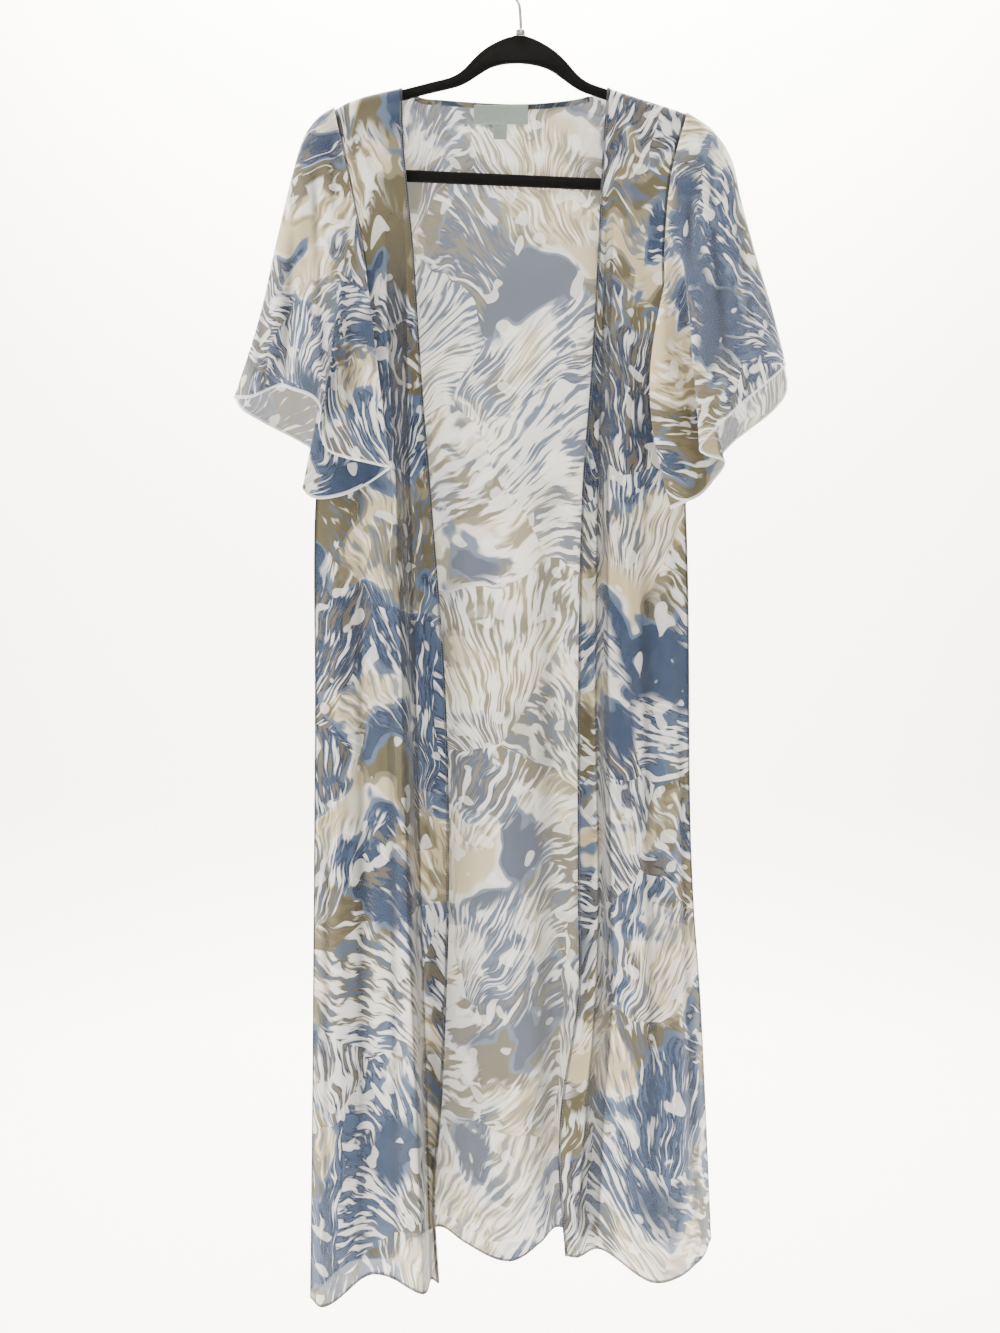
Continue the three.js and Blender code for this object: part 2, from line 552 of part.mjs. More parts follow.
const duster = new THREE.Group();
addMesh(duster, 'back', wall(backGrid()), CLOTH);
addMesh(duster, 'right_front', wall(rightFront), CLOTH);
addMesh(duster, 'left_front', wall(reverseRows(leftFront)), CLOTH);
addMesh(duster, 'right_front_facing', wall(facingGrid(FRONT_RIGHT, rightFront)), TRIM);
addMesh(duster, 'left_front_facing', wall(reverseRows(facingGrid(FRONT_LEFT, leftFront))), TRIM);
addMesh(duster, 'right_sleeve', wall(sleeveGrid(SLEEVE_RIGHT), { closed: true }), CLOTH);
addMesh(duster, 'left_sleeve', wall(sleeveGrid(SLEEVE_LEFT), { closed: true }), CLOTH);
addMesh(duster, 'neck_binding', wall(bindingGrid()), TRIM);
addMesh(duster, 'label', wall(patchGrid(LABEL, 2), { thickness: LABEL.thickness }), WOVEN);
addMesh(duster, 'size_tab', wall(patchGrid(SIZE_TAB, 1), { thickness: SIZE_TAB.thickness }), WOVEN);
addMesh(duster, 'hanger', hangerGeometry(), FLOCK);
addMesh(duster, 'hanger_boss', bossGeometry(), STEEL);
addMesh(duster, 'hook', hookGeometry(), STEEL);

export default duster;
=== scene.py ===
"""Dressed model of an open-front chiffon duster that hangs on a slim flocked hanger."""

import math

import bmesh
import bpy
from mathutils import Matrix, Vector


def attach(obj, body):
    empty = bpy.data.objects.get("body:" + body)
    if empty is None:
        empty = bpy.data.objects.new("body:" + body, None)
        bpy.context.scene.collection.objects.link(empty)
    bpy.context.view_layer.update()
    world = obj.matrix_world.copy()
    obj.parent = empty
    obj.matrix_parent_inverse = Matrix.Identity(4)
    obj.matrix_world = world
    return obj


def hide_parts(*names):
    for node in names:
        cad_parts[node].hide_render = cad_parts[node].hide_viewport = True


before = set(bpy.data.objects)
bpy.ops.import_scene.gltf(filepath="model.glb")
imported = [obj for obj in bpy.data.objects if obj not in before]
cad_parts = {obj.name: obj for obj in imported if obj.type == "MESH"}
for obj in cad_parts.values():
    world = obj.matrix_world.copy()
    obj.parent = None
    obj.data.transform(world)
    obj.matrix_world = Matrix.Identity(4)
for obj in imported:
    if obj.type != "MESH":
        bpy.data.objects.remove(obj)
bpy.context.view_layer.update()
MM = 0.001


# Hanger body.
# The real one is a thin moulded plastic hanger with an arch, two sloping arms and a trouser bar.
# It is sprayed with black flock, so its edges are soft and it throws back almost no light.
HANGER_SLOPE = 0.044
HANGER_DEPTH = 5.0
HANGER_ROUNDING = 1.6


def table(columns, *rows):
    """Rows of values under named columns."""
    return [dict(zip(columns.split(), row)) for row in rows]


HANGER_TOP = table(
    "x z",
    (0, -81), (6, -81), (22, -87), (37, -96), (48, -106), (57, -116), (64, -122.5), (74, -128),
    (92, -133.5), (124, -143), (150, -150), (172, -157), (188, -165), (200, -175.5),
    (208, -188.5), (212, -203),
)
HANGER_INSIDE = table(
    "x z",
    (0, -109.5), (16, -111), (31, -115.5), (43, -123), (53, -130), (64, -136), (78, -140.5),
    (96, -145.5), (124, -154), (150, -161.5), (172, -169), (186, -176.5), (196, -188), (200, -202),
)
BAR_TOP, BAR_BOTTOM, BAR_CORNER = -227, -239, 10


def along(rows, key, column, at):
    """Smooth value of a table's column at a height or a share, through every row."""
    turn = -1 if rows[0][key] > rows[-1][key] else 1
    keys = [turn * row[key] for row in rows]
    place = turn * at
    last = len(rows) - 1
    if place <= keys[0]:
        return rows[0][column]
    if place >= keys[last]:
        return rows[last][column]
    i = next(n for n in range(last) if place <= keys[n + 1])
    span = keys[i + 1] - keys[i]

    def slope(a, b):
        return (rows[b][column] - rows[a][column]) / (keys[b] - keys[a]) * span

    start, end = slope(max(i - 1, 0), i + 1), slope(i, min(i + 2, last))
    t = (place - keys[i]) / span
    here, there = rows[i][column], rows[i + 1][column]
    return ((2 * t**3 - 3 * t**2 + 1) * here + (t**3 - 2 * t**2 + t) * start
            + (3 * t**2 - 2 * t**3) * there + (t**3 - t**2) * end)


def linear(hex_colour):
    """A colour given as sRGB hex, as the linear values that a shader takes."""
    parts = [int(hex_colour[i:i + 2], 16) / 255 for i in (1, 3, 5)]
    return (*[p / 12.92 if p <= 0.04045 else ((p + 0.055) / 1.055) ** 2.4 for p in parts], 1)


def add_node(tree, kind, settings, inputs):
    """A shader node with its settings and its inputs, each a value, or the node or socket that feeds it."""
    made = tree.nodes.new("ShaderNode" + kind)
    for name, value in settings.items():
        setattr(made, name, value)
    for name, value in inputs.items():
        if isinstance(value, bpy.types.Node):
            value = value.outputs[0]
        if isinstance(value, bpy.types.NodeSocket):
            tree.links.new(value, made.inputs[name])
        else:
            made.inputs[name].default_value = value
    return made


def new_material(name):
    """An empty material, with its node tree and its output's surface socket."""
    material = bpy.data.materials.new(name)
    material.use_nodes = True
    material.node_tree.nodes.clear()
    output = material.node_tree.nodes.new("ShaderNodeOutputMaterial")
    return material, material.node_tree, output.inputs["Surface"]


def flocked_plastic():
    """Nylon flock on polypropylene: matt, nearly black, with a faint pile that catches grazing light."""
    material, tree, surface = new_material("black_nylon_flock")
    place = tree.nodes.new("ShaderNodeTexCoord").outputs["Object"]
    pile = add_node(tree, "TexNoise", {}, {"Vector": place, "Scale": 1400, "Detail": 3})
    nap = add_node(tree, "TexNoise", {}, {"Vector": place, "Scale": 90, "Detail": 2})
    tone = add_node(tree, "Mix", {"data_type": "RGBA"},
                    {0: nap, 6: linear("#020202"), 7: linear("#050506")})
    bump = add_node(tree, "Bump", {}, {"Strength": 0.35, "Distance": 0.0003, "Height": pile})
    flock = add_node(tree, "BsdfPrincipled", {}, {
        "Base Color": tone.outputs[2], "Roughness": 0.95, "Specular IOR Level": 0.15,
        "Sheen Weight": 0.03, "Sheen Roughness": 0.5, "Normal": bump})
    tree.links.new(flock.outputs["BSDF"], surface)
    return material


def hanger_outline(rows, end_x, bottom, corner):
    """One closed line of the hanger: its top edge, two rounded ends and its straight lower edge."""
    reach = [rows[-1]["x"] * (2 * i / 160 - 1) for i in range(161)]
    line = [(x, along(rows, "x", "z", abs(x))) for x in reach]
    for side in (1, -1):
        quarter = [math.radians(angle) for angle in range(0, 91, 10)]
        turn = [(side * (end_x - corner + corner * math.cos(a)), bottom + corner - corner * math.sin(a))
                for a in quarter]
        line += turn if side > 0 else turn[::-1]
    return [(x, z - HANGER_SLOPE * x) for x, z in line]


def mesh_of_curve(curve, name):
    """The mesh that a curve makes, under the piece's name."""
    source = bpy.data.objects.new(name + "_line", curve)
    bpy.context.collection.objects.link(source)
    bpy.context.view_layer.update()
    mesh = bpy.data.meshes.new_from_object(source)
    bpy.data.objects.remove(source)
    mesh.name = name
    return mesh


def add_piece(name, mesh, materials):
    """A finished mesh as an object of the garment's one body."""
    piece = bpy.data.objects.new(name, mesh)
    bpy.context.collection.objects.link(piece)
    for material in materials:
        mesh.materials.append(material)
    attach(piece, "root")
    return piece


def smooth(mesh):
    for polygon in mesh.polygons:
        polygon.use_smooth = True


def finished(bm, name):
    """The mesh that a bmesh holds, under the piece's name."""
    mesh = bpy.data.meshes.new(name)
    bm.to_mesh(mesh)
    bm.free()
    return mesh


def hanger_mesh():
    """The hanger's outline with its one opening, filled and given its depth and rounded edges."""
    curve = bpy.data.curves.new("hanger_outline", "CURVE")
    curve.dimensions = "2D"
    curve.fill_mode = "BOTH"
    curve.extrude = (HANGER_DEPTH / 2 - HANGER_ROUNDING) * MM
    curve.bevel_depth = HANGER_ROUNDING * MM
    curve.bevel_resolution = 3
    curve.offset = -HANGER_ROUNDING * MM
    for rows, end_x, bottom, corner in (
        (HANGER_TOP, 212, BAR_BOTTOM, 2 * BAR_CORNER), (HANGER_INSIDE, 200, BAR_TOP, BAR_CORNER),
    ):
        line = hanger_outline(rows, end_x, bottom, corner)
        spline = curve.splines.new("POLY")
        spline.points.add(len(line) - 1)
        for p, (x, z) in zip(spline.points, line):
            p.co = (x * MM, z * MM, 0, 1)
        spline.use_cyclic_u = True
    mesh = mesh_of_curve(curve, "hanger_body")
    mesh.transform(Matrix.Rotation(math.radians(90), 4, "X"))
    bm = bmesh.new()
    bm.from_mesh(mesh)
    bmesh.ops.remove_doubles(bm, verts=bm.verts, dist=0.02 * MM)
    bmesh.ops.recalc_face_normals(bm, faces=bm.faces)
    bm.to_mesh(mesh)
    bm.free()
    smooth(mesh)
    mesh.set_sharp_from_angle(angle=math.radians(50))
    return mesh


hanger = add_piece("hanger_body", hanger_mesh(), [flocked_plastic()])
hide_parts("hanger")


# Collar and hook.
# The collar is a turned steel ring pressed onto the arch. The hook is plated steel wire that is cut,
# bent to a loop with its open tip rounded off, and held in the collar.
COLLAR = {"radius": 4.9, "bottom": -80.2, "top": -75.2, "rounding": 0.9}
HOOK_WIRE, HOOK_LOOP, HOOK_SEAT = 3.2, 19, -74.9


def plated_steel():
    """Nickel-plated steel wire, drawn and lightly brushed: a bright grey metal with fine lines along it."""
    material, tree, surface = new_material("nickel_plated_steel")
    place = tree.nodes.new("ShaderNodeTexCoord").outputs["Object"]
    drawn = add_node(tree, "Mapping", {}, {"Vector": place, "Scale": (2600, 2600, 90)})
    lines = add_node(tree, "TexNoise", {}, {"Vector": drawn, "Scale": 1, "Detail": 2})
    rough = add_node(tree, "MapRange", {}, {"Value": lines, "To Min": 0.26, "To Max": 0.42})
    steel = add_node(tree, "BsdfPrincipled", {}, {
        "Base Color": linear("#a3a3a2"), "Metallic": 1, "Roughness": rough})
    tree.links.new(steel.outputs["BSDF"], surface)
    return material


def row_through(keys, steps):
    """A smooth centripetal curve through its key points, with a number of steps between each two."""
    first, last = 2 * keys[0] - keys[1], 2 * keys[-1] - keys[-2]
    padded = [first, *keys, last]
    row = []
    for i in range(len(keys) - 1):
        row += [curve_point(padded[i:i + 4], k / steps) for k in range(steps)]
    return row + [keys[-1].copy()]


def curve_point(four, t):
    """Point between the middle two of four keys, by the square root of the space between them."""
    gaps = [max((b - a).length, 1e-6) ** 0.5 for a, b in zip(four, four[1:])]
    legs = [(b - a) / gap for a, b, gap in zip(four, four[1:], gaps)]
    start = (legs[0] - (four[2] - four[0]) / (gaps[0] + gaps[1]) + legs[1]) * gaps[1]
    end = (legs[1] - (four[3] - four[1]) / (gaps[1] + gaps[2]) + legs[2]) * gaps[1]
    here, there = four[1], four[2]
    return (here + start * t + (3 * (there - here) - 2 * start - end) * t**2
            + (2 * (here - there) + start + end) * t**3)


def wire_mesh(name, thickness, resolution, lines, rounded=False):
    """Round wire or thread along lines of points, with its ends closed and, if rounded, its tip drawn in."""
    curve = bpy.data.curves.new(name, "CURVE")
    curve.dimensions = "3D"
    curve.bevel_depth = thickness / 2 * MM
    curve.bevel_resolution = resolution
    curve.use_fill_caps = True
    for line in lines:
        spline = curve.splines.new("POLY")
        spline.points.add(len(line) - 1)
        for i, (p, place) in enumerate(zip(spline.points, line)):
            p.co = (*place * MM, 1)
            p.radius = min(1, 0.55 + 0.3 * (len(line) - 1 - i)) if rounded else 1
    mesh = mesh_of_curve(curve, name)
    smooth(mesh)
    return mesh


def hook_mesh():
    """Wire from the collar up and round the loop to its tip."""
    centre_z = HOOK_WIRE / 2 - HOOK_LOOP
    angles = [math.radians(a) for a in (210, 190, 165, 140, 115, 90, 65, 40, 15, -10, -32)]
    loop = [Vector((HOOK_LOOP * math.cos(a), 0, centre_z + HOOK_LOOP * math.sin(a))) for a in angles]
    stem = [Vector(p) for p in ((0.5, 0, HOOK_SEAT), (0, 0, -62), (-1.5, 0, -48), (-7.5, 0, -38))]
    mesh = wire_mesh("hook_wire", HOOK_WIRE, 6, [row_through([*stem, *loop], 8)], rounded=True)
    mesh.set_sharp_from_angle(angle=math.radians(60))
    return mesh


def collar_mesh():
    """A turned ring with rounded edges."""
    bm = bmesh.new()
    corner = COLLAR["radius"] - COLLAR["rounding"]
    outline = [(0, COLLAR["bottom"]), (corner, COLLAR["bottom"])]
    for start, z in ((-90, COLLAR["bottom"] + COLLAR["rounding"]), (0, COLLAR["top"] - COLLAR["rounding"])):
        outline += [(corner + COLLAR["rounding"] * math.cos(math.radians(start + a)),
                     z + COLLAR["rounding"] * math.sin(math.radians(start + a)))
                    for a in range(15, 91, 15)]
    outline.append((0, COLLAR["top"]))
    verts = [bm.verts.new((x * MM, 0, z * MM)) for x, z in outline]
    edges = [bm.edges.new(pair) for pair in zip(verts, verts[1:])]
    bmesh.ops.spin(bm, geom=verts + edges, cent=(0, 0, 0), axis=(0, 0, 1), angle=math.tau,
                   steps=40, use_merge=True)
    bmesh.ops.remove_doubles(bm, verts=bm.verts, dist=0.01 * MM)
    bmesh.ops.recalc_face_normals(bm, faces=bm.faces)
    mesh = finished(bm, "hook_collar")
    smooth(mesh)
    mesh.set_sharp_from_angle(angle=math.radians(50))
    return mesh


steel = plated_steel()
collar = add_piece("hook_collar", collar_mesh(), [steel])
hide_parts("hanger_boss")
hook = add_piece("hook_wire", hook_mesh(), [steel])
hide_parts("hook")


# Back panel.
# One width of printed polyester chiffon, cut from shoulder to hem and from side seam to side seam.
# It hangs from the shoulder seams, is open at the neck, and its hem is a narrow rolled one.
CLOTH = 0.5           # a drawn thickness: real chiffon is about 0.2 mm
ROLLED = 1.3          # thickness of a rolled hem and of a French seam
HEM = 3.0             # width of a rolled hem
SEAM_ALLOWANCE = 0.3
LAP = 1.5
NECK_RIGHT, NECK_LEFT = -124, 91
ARM_CLEAR = 1.3
BODY_LENGTH = 1240
BODY_ROWS = 200
ON_ARM = 6            # how far down from the shoulder seam the cloth lies on the hanger's arm
RUN_OUT = 16          # and how far from there it takes to reach the panel's own depth
SEAM_CLOSES = (700, 1300)
BACK_COLUMNS = 110
ARM_WRAP = table("drop depth", (0, 0.15), (0.4, 2.6), (2.2, 4.9), (6, 5.8))
SIDE_RIGHT = table(
    "z x y",
    (-158, -195, -0.5), (-202, -186, -6), (-250, -176, -6.5), (-300, -166, -7.5), (-349, -161, -8),
    (-400, -176, -6), (-450, -204, 0), (-516, -211, 0), (-600, -216, -2), (-780, -215, -5),
    (-985, -216, -7), (-1190, -217, -10), (-1400, -219, -12),
)
SIDE_LEFT = table(
    "z x y",
    (-164, 174, -0.5), (-225, 158, -6), (-290, 151, -7.5), (-349, 151, -8), (-400, 160, -6),
    (-450, 171, 0), (-516, 172, 0), (-673, 176, -2), (-880, 178, 1), (-987, 182, 4),
    (-1093, 190, 9), (-1200, 196, 15), (-1355, 204, 26),
)
UNDERARM_Z = -450
BACK_KEYS = table(
    "at neck_z hem_y hem_z",
    (0, None, -12, -1400), (0.085, None, 36, -1384), (0.19, None, 26, -1376),
    (0.205, -136.4, 28, -1374), (0.25, -143.5, 44, -1362), (0.31, -145.5, 57, -1355),
    (0.38, -147.6, 40, -1366), (0.49, -149.7, 14, -1374), (0.57, -149.3, 36, -1364),
    (0.614, -148, 57, -1355), (0.69, -144.5, 42, -1362), (0.76, -137.4, 31, -1370),
    (0.775, None, 32, -1370), (0.86, None, 48, -1366), (0.93, None, 42, -1360), (1, None, 26, -1355),
)
BACK_DEPTH = table("z y", (-135, 7), (-350, 9), (-570, 12), (-780, 16), (-985, 22), (-1375, 32))


def mix(a, b, t):
    """The value a share t of the way from a to b."""
    return a + (b - a) * t


def smoothstep(value, low, high):
    """0 below low, 1 above high, and a soft step between."""
    t = min(max((value - low) / (high - low), 0), 1)
    return t * t * (3 - 2 * t)


def shoulder_z(x):
    """Height of the cloth over the hanger's arm."""
    return along(HANGER_TOP, "x", "z", abs(x)) - HANGER_SLOPE * x + ARM_CLEAR


def body_drops():
    """How far below the shoulder seam each row lies, closer over the hanger's arm and at the hem."""
    over_arm = [0, 0.2, 0.4, 1, 2.2, 4, 6, 10, 15]
    even = [mix(20, BODY_LENGTH - 11, i / BODY_ROWS) for i in range(BODY_ROWS + 1)]
    return over_arm + even + [BODY_LENGTH - HEM - 1, BODY_LENGTH - HEM, BODY_LENGTH - 1.2, BODY_LENGTH]


def row_z(drop, top_z, hem_z):
    """Height of a row, evenly drawn out between the shoulder seam and the hem."""
    return top_z - drop if drop <= ON_ARM else top_z - drop * (top_z - hem_z) / BODY_LENGTH


def wrap_depth(drop, depth):
    """Depth of the cloth as it turns over the arm and runs out to the panel's own depth."""
    if drop <= ON_ARM:
        i = next(n for n in range(3) if drop <= ARM_WRAP[n + 1]["drop"])
        low, high = ARM_WRAP[i], ARM_WRAP[i + 1]
        return mix(low["depth"], high["depth"], (drop - low["drop"]) / (high["drop"] - low["drop"]))
    return mix(ARM_WRAP[-1]["depth"], depth, min((drop - ON_ARM) / RUN_OUT, 1))


def side_depth(side, z, sign):
    """Front and back are apart along the armhole and meet in the side seam below the underarm."""
    half = mix(LAP / 2, 0.4, smoothstep(-z, *SEAM_CLOSES))
    seam_y = along(side, "z", "y", z)
    return sign * max(abs(seam_y), half) if z > UNDERARM_Z else seam_y + sign * half


def lay_on_arm(row, drop, sign):
    """The first rows follow the hanger's arm, so the cloth lies evenly over it."""
    if drop <= ON_ARM:
        for p in row:
            if not NECK_RIGHT + 0.1 < p.x < NECK_LEFT - 0.1:
                p.z = shoulder_z(p.x) - drop
                p.y = sign * wrap_depth(drop, 0)
    return row


def distances_along(row):
    """How far each point lies along a row."""
    lengths = [0]
    for a, b in zip(row, row[1:]):
        lengths.append(lengths[-1] + (b - a).length)
    return lengths


def resample(row, places):
    """Points at given distances along a row."""
    lengths = distances_along(row)
    points, i = [], 0
    for place in places:
        while i < len(row) - 2 and lengths[i + 1] < place:
            i += 1
        t = (place - lengths[i]) / max(lengths[i + 1] - lengths[i], 1e-9)
        points.append(row[i].lerp(row[i + 1], min(max(t, 0), 1)))
    return points


def row_length(row):
    return sum((b - a).length for a, b in zip(row, row[1:]))


def across(length, columns, start_hem, end_hem):
    """Distances across a panel: the hem's own columns at each edge, and even ones between."""
    edges = [0, 1.2, HEM, HEM + 1]
    inner = [mix(HEM + 1, length - HEM - 1, (i + 1) / (columns + 1)) for i in range(columns)]
    return edges[:1] + (edges[1:] if start_hem else []) + inner + \
        ([length - e for e in edges[:0:-1]] if end_hem else []) + [length]


def back_row(drop):
    """One row of the back, from the right side seam to the left."""
    keys = []
    for key in BACK_KEYS:
        top_x = mix(SIDE_RIGHT[0]["x"], SIDE_LEFT[0]["x"], key["at"])
        in_neck = key["neck_z"] is not None
        z = row_z(drop, key["neck_z"] if in_neck else shoulder_z(top_x), key["hem_z"])
        x = mix(along(SIDE_RIGHT, "z", "x", z), along(SIDE_LEFT, "z", "x", z), key["at"])
        if key["at"] in (0, 1):
            y = wrap_depth(drop, side_depth(SIDE_LEFT if key["at"] else SIDE_RIGHT, z, 1))
        else:
            reach = min(max((-300 - z) / 1075, 0), 1)
            depth = along(BACK_DEPTH, "z", "y", z) + (key["hem_y"] - BACK_DEPTH[-1]["y"]) * reach**1.4
            y = depth if in_neck else wrap_depth(drop, depth)
        keys.append(Vector((x, y, z)))
    return lay_on_arm(row_through(keys, 8), drop, 1)


def cloth_mesh(name, grid, uv_start, hemmed, closed=False, painted_fold_shade=None):
    """A cloth piece from a grid of points in mm, with its flat cut as UV in metres.

    `hemmed` names the edges with a rolled hem or seam: left, right, top, bottom. They get the second
    material and the full thickness. A closed grid's first and last columns are joined. The last argument
    gives for each point, from 0 to 1, how much painted shade darkens its print there, at the bottoms of
    folds.
    """
    rows, columns = len(grid), len(grid[0])
    up = [[0.0] * columns for _ in range(rows)]
    for r in range(rows - 2, -1, -1):
        for c in range(columns):
            up[r][c] = up[r + 1][c] + (grid[r][c] - grid[r + 1][c]).length
    out = [[0.0] * columns for _ in range(rows)]
    for r in range(rows):
        for c in range(1, columns):
            out[r][c] = out[r][c - 1] + (grid[r][c] - grid[r][c - 1]).length
    bm = bmesh.new()
    bmesh.ops.create_grid(bm, x_segments=columns - 1, y_segments=rows - 1, size=1)
    layer = bm.loops.layers.uv.new("cut")
    deform = bm.verts.layers.deform.verify()
    layers = bm.verts.layers.float.new("painted_fold_shade")
    places = {}
    for vert in bm.verts:
        c = round((vert.co.x + 1) / 2 * (columns - 1))
        r = round((1 - vert.co.y) / 2 * (rows - 1))
        places[vert] = (r, c)

    def from_edges(r, c):
        distances = {"left": out[r][c], "right": out[r][-1] - out[r][c],
                     "bottom": up[r][c], "top": up[0][c] - up[r][c]}
        return min((distances[edge] for edge in hemmed), default=99)

    for face in bm.faces:
        middle = 0
        for loop in face.loops:
            r, c = places[loop.vert]
            loop[layer].uv = (uv_start[0] + out[r][c] * MM, uv_start[1] + up[r][c] * MM)
            middle += from_edges(r, c) / 4
        face.material_index = 1 if middle < HEM else 0
        face.smooth = True
    for vert, (r, c) in places.items():
        vert.co = grid[r][c] * MM
        distance = from_edges(r, c)
        vert[layers] = painted_fold_shade[r][c] if painted_fold_shade else 0
        vert[deform][0] = 0.55 if distance < 0.1 else 1.0 if distance < HEM + 0.1 else 0.0
    if closed:
        bmesh.ops.remove_doubles(bm, verts=bm.verts, dist=0.01 * MM)
    return finished(bm, name)


def printed_chiffon(name, opacity, edge_colour, edge_share, light=0.0):
    """Polyester chiffon, plain woven from twisted yarn and printed: sheer, matt, with a faint crepe grain.

    `light` moves the shares of the print from blue and tan towards white, as in the middle of the cloth.
    """
    material, tree, surface = new_material(name)
    cut = add_node(tree, "UVMap", {"uv_map": "cut"}, {}).outputs["UV"]
    in_plane, soft_edge = {"noise_dimensions": "2D"}, {"interpolation_type": "SMOOTHSTEP"}
    times_plus, over = {"operation": "MULTIPLY_ADD"}, {"data_type": "RGBA"}

    # The cloth's plan in metres, pushed about by some 5 mm so that no edge of a motif runs straight.
    push = add_node(tree, "TexNoise", in_plane, {"Vector": cut, "Scale": 22, "Detail": 1})
    drift = add_node(tree, "VectorMath", {"operation": "SUBTRACT"}, {
        0: push.outputs["Color"], 1: (0.5, 0.5, 0.5)})
    loose = add_node(tree, "VectorMath", times_plus, {0: drift, 1: (0.02, 0.02, 0), 2: cut})

    # Fans of brush strokes run out from a hub beside the middle of each cell, some 150 mm wide.
    # The strokes are about 4 mm wide and 40 mm long.
    fans = add_node(tree, "TexVoronoi", {"voronoi_dimensions": "2D"}, {"Vector": loose, "Scale": 6.6})
    chance = add_node(tree, "SeparateXYZ", {}, {"Vector": fans.outputs["Color"]}).outputs
    shift = add_node(tree, "Math", times_plus, {0: chance["X"], 1: 0.3, 2: -0.1})
    aside = add_node(tree, "CombineXYZ", {}, {"X": shift, "Y": 0.13})
    inside = add_node(tree, "VectorMath", {"operation": "SUBTRACT"}, {0: loose, 1: fans.outputs["Position"]})
    hub = add_node(tree, "VectorMath", {"operation": "ADD"}, {0: inside, 1: aside})
    parts = add_node(tree, "SeparateXYZ", {}, {"Vector": hub}).outputs
    bearing = add_node(tree, "Math", {"operation": "ARCTAN2"}, {0: parts["Y"], 1: parts["X"]})
    reach = add_node(tree, "VectorMath", {"operation": "LENGTH"}, {0: hub})
    turned = add_node(tree, "Math", {"operation": "MULTIPLY"}, {0: chance["Y"], 1: 9})
    around = add_node(tree, "Math", times_plus, {0: bearing, 1: 30, 2: turned})
    outward = add_node(tree, "Math", {"operation": "MULTIPLY"}, {0: reach.outputs["Value"], 1: 25})
    brushed = add_node(tree, "CombineXYZ", {}, {"X": around, "Y": outward})
    stroke = add_node(tree, "TexNoise", in_plane, {"Vector": brushed, "Scale": 1, "Detail": 2})

    # Blots some 125 mm apart, pools 110 mm, veils 125 mm and dabs 30 mm apart break the fans up.
    fields = {"stroke": stroke, "chance": chance["Z"]}
    for field, start, scale, detail in (
        ("blot", (0, 0, 0), 8, 2), ("pool", (5, 3, 0), 9, 2), ("veil", (9, 1, 0), 8, 1),
        ("dab", (0, 0, 0), 34, 1),
    ):
        moved = add_node(tree, "VectorMath", {"operation": "ADD"}, {0: loose, 1: start})
        fields[field] = add_node(tree, "TexNoise", in_plane, {
            "Vector": moved, "Scale": scale, "Detail": detail})
    for field, base, times, plus, edge, share in (
        ("tan", "pool", 1, -0.07 - light / 2, "dab", 0.14),
        ("blue", "blot", -1, 1.01 - light, "dab", -0.19),
        ("white", "stroke", -1, 0, "chance", 0.16),
    ):
        level = add_node(tree, "Math", times_plus, {0: fields[base], 1: times, 2: plus})
        fields[field] = add_node(tree, "Math", times_plus, {0: fields[edge], 1: share, 2: level})

    # A ground of cream with flat pools of tan and then of two blues. Thin strokes of blue or tan lie over
    # the light cloth, white ones over the pools, and small white dabs over all.
    veil = add_node(tree, "MapRange", soft_edge, {
        "Value": fields["veil"], "From Min": 0.36, "From Max": 0.46, "To Max": 0.75})
    either = add_node(tree, "MapRange", soft_edge, {"Value": chance["Y"], "From Min": 0.45, "From Max": 0.55})
    thin = add_node(tree, "Mix", over, {0: either, 6: linear("#6c634e"), 7: linear("#4e5d78")}).outputs[2]
    printed = linear("#dddad2")
    for colour, field, low, high, share in (
        (linear("#c3b592"), "blot", 0.5, 0.56, 1),
        (linear("#7f7861"), "tan", 0.475, 0.495, 1), (linear("#5c5641"), "tan", 0.52, 0.54, 1),
        (linear("#586880"), "blue", 0.395, 0.415, 1), (linear("#33415b"), "blue", 0.43, 0.45, 1),
        (thin, "stroke", 0.52, 0.62, veil), (linear("#fdfcf9"), "white", -0.39 - light, -0.28 - light, veil),
        (linear("#f7f6f2"), "dab", 0.67, 0.69, 0.6),
    ):
        shape = add_node(tree, "MapRange", soft_edge, {
            "Value": fields[field], "From Min": low, "From Max": high})
        mask = add_node(tree, "Math", {"operation": "MULTIPLY"}, {0: shape, 1: share})
        printed = add_node(tree, "Mix", over, {0: mask, 6: printed, 7: colour}).outputs[2]

    # Painted shade darkens the print towards dark slate at the bottoms of folds, as the attribute gives it. A
    # rolled edge takes its own colour, which on the sleeves is a painted white highlight.
    painted_fold_shade = add_node(tree, "Attribute", {"attribute_name": "painted_fold_shade"}, {})
    depth = add_node(tree, "Math", {"operation": "MULTIPLY"}, {0: painted_fold_shade.outputs["Fac"], 1: 0.85})
    printed = add_node(tree, "Mix", over, {0: depth, 6: printed, 7: linear("#22262e")}).outputs[2]
    if edge_share:
        printed = add_node(tree, "Mix", over, {0: edge_share, 6: printed, 7: linear(edge_colour)}).outputs[2]

    # Slack crinkles some 20 mm apart. The crepe grain of 0.4 mm is drawn 1.6 mm wide so that it shows.
    slack = add_node(tree, "TexNoise", in_plane, {"Vector": cut, "Scale": 46, "Detail": 1})
    crepe = add_node(tree, "TexNoise", in_plane, {"Vector": cut, "Scale": 620, "Detail": 0})
    crinkle = add_node(tree, "Math", times_plus, {0: crepe, 1: 0.03, 2: slack})
    bump = add_node(tree, "Bump", {}, {"Strength": 0.4, "Distance": 0.002, "Height": crinkle})
    chiffon = add_node(tree, "BsdfPrincipled", {}, {
        "Base Color": printed, "Roughness": 0.75, "Specular IOR Level": 0.25, "Sheen Weight": 0.1,
        "Sheen Roughness": 0.45, "Alpha": opacity, "Normal": bump})
    tree.links.new(chiffon.outputs["BSDF"], surface)
    return material


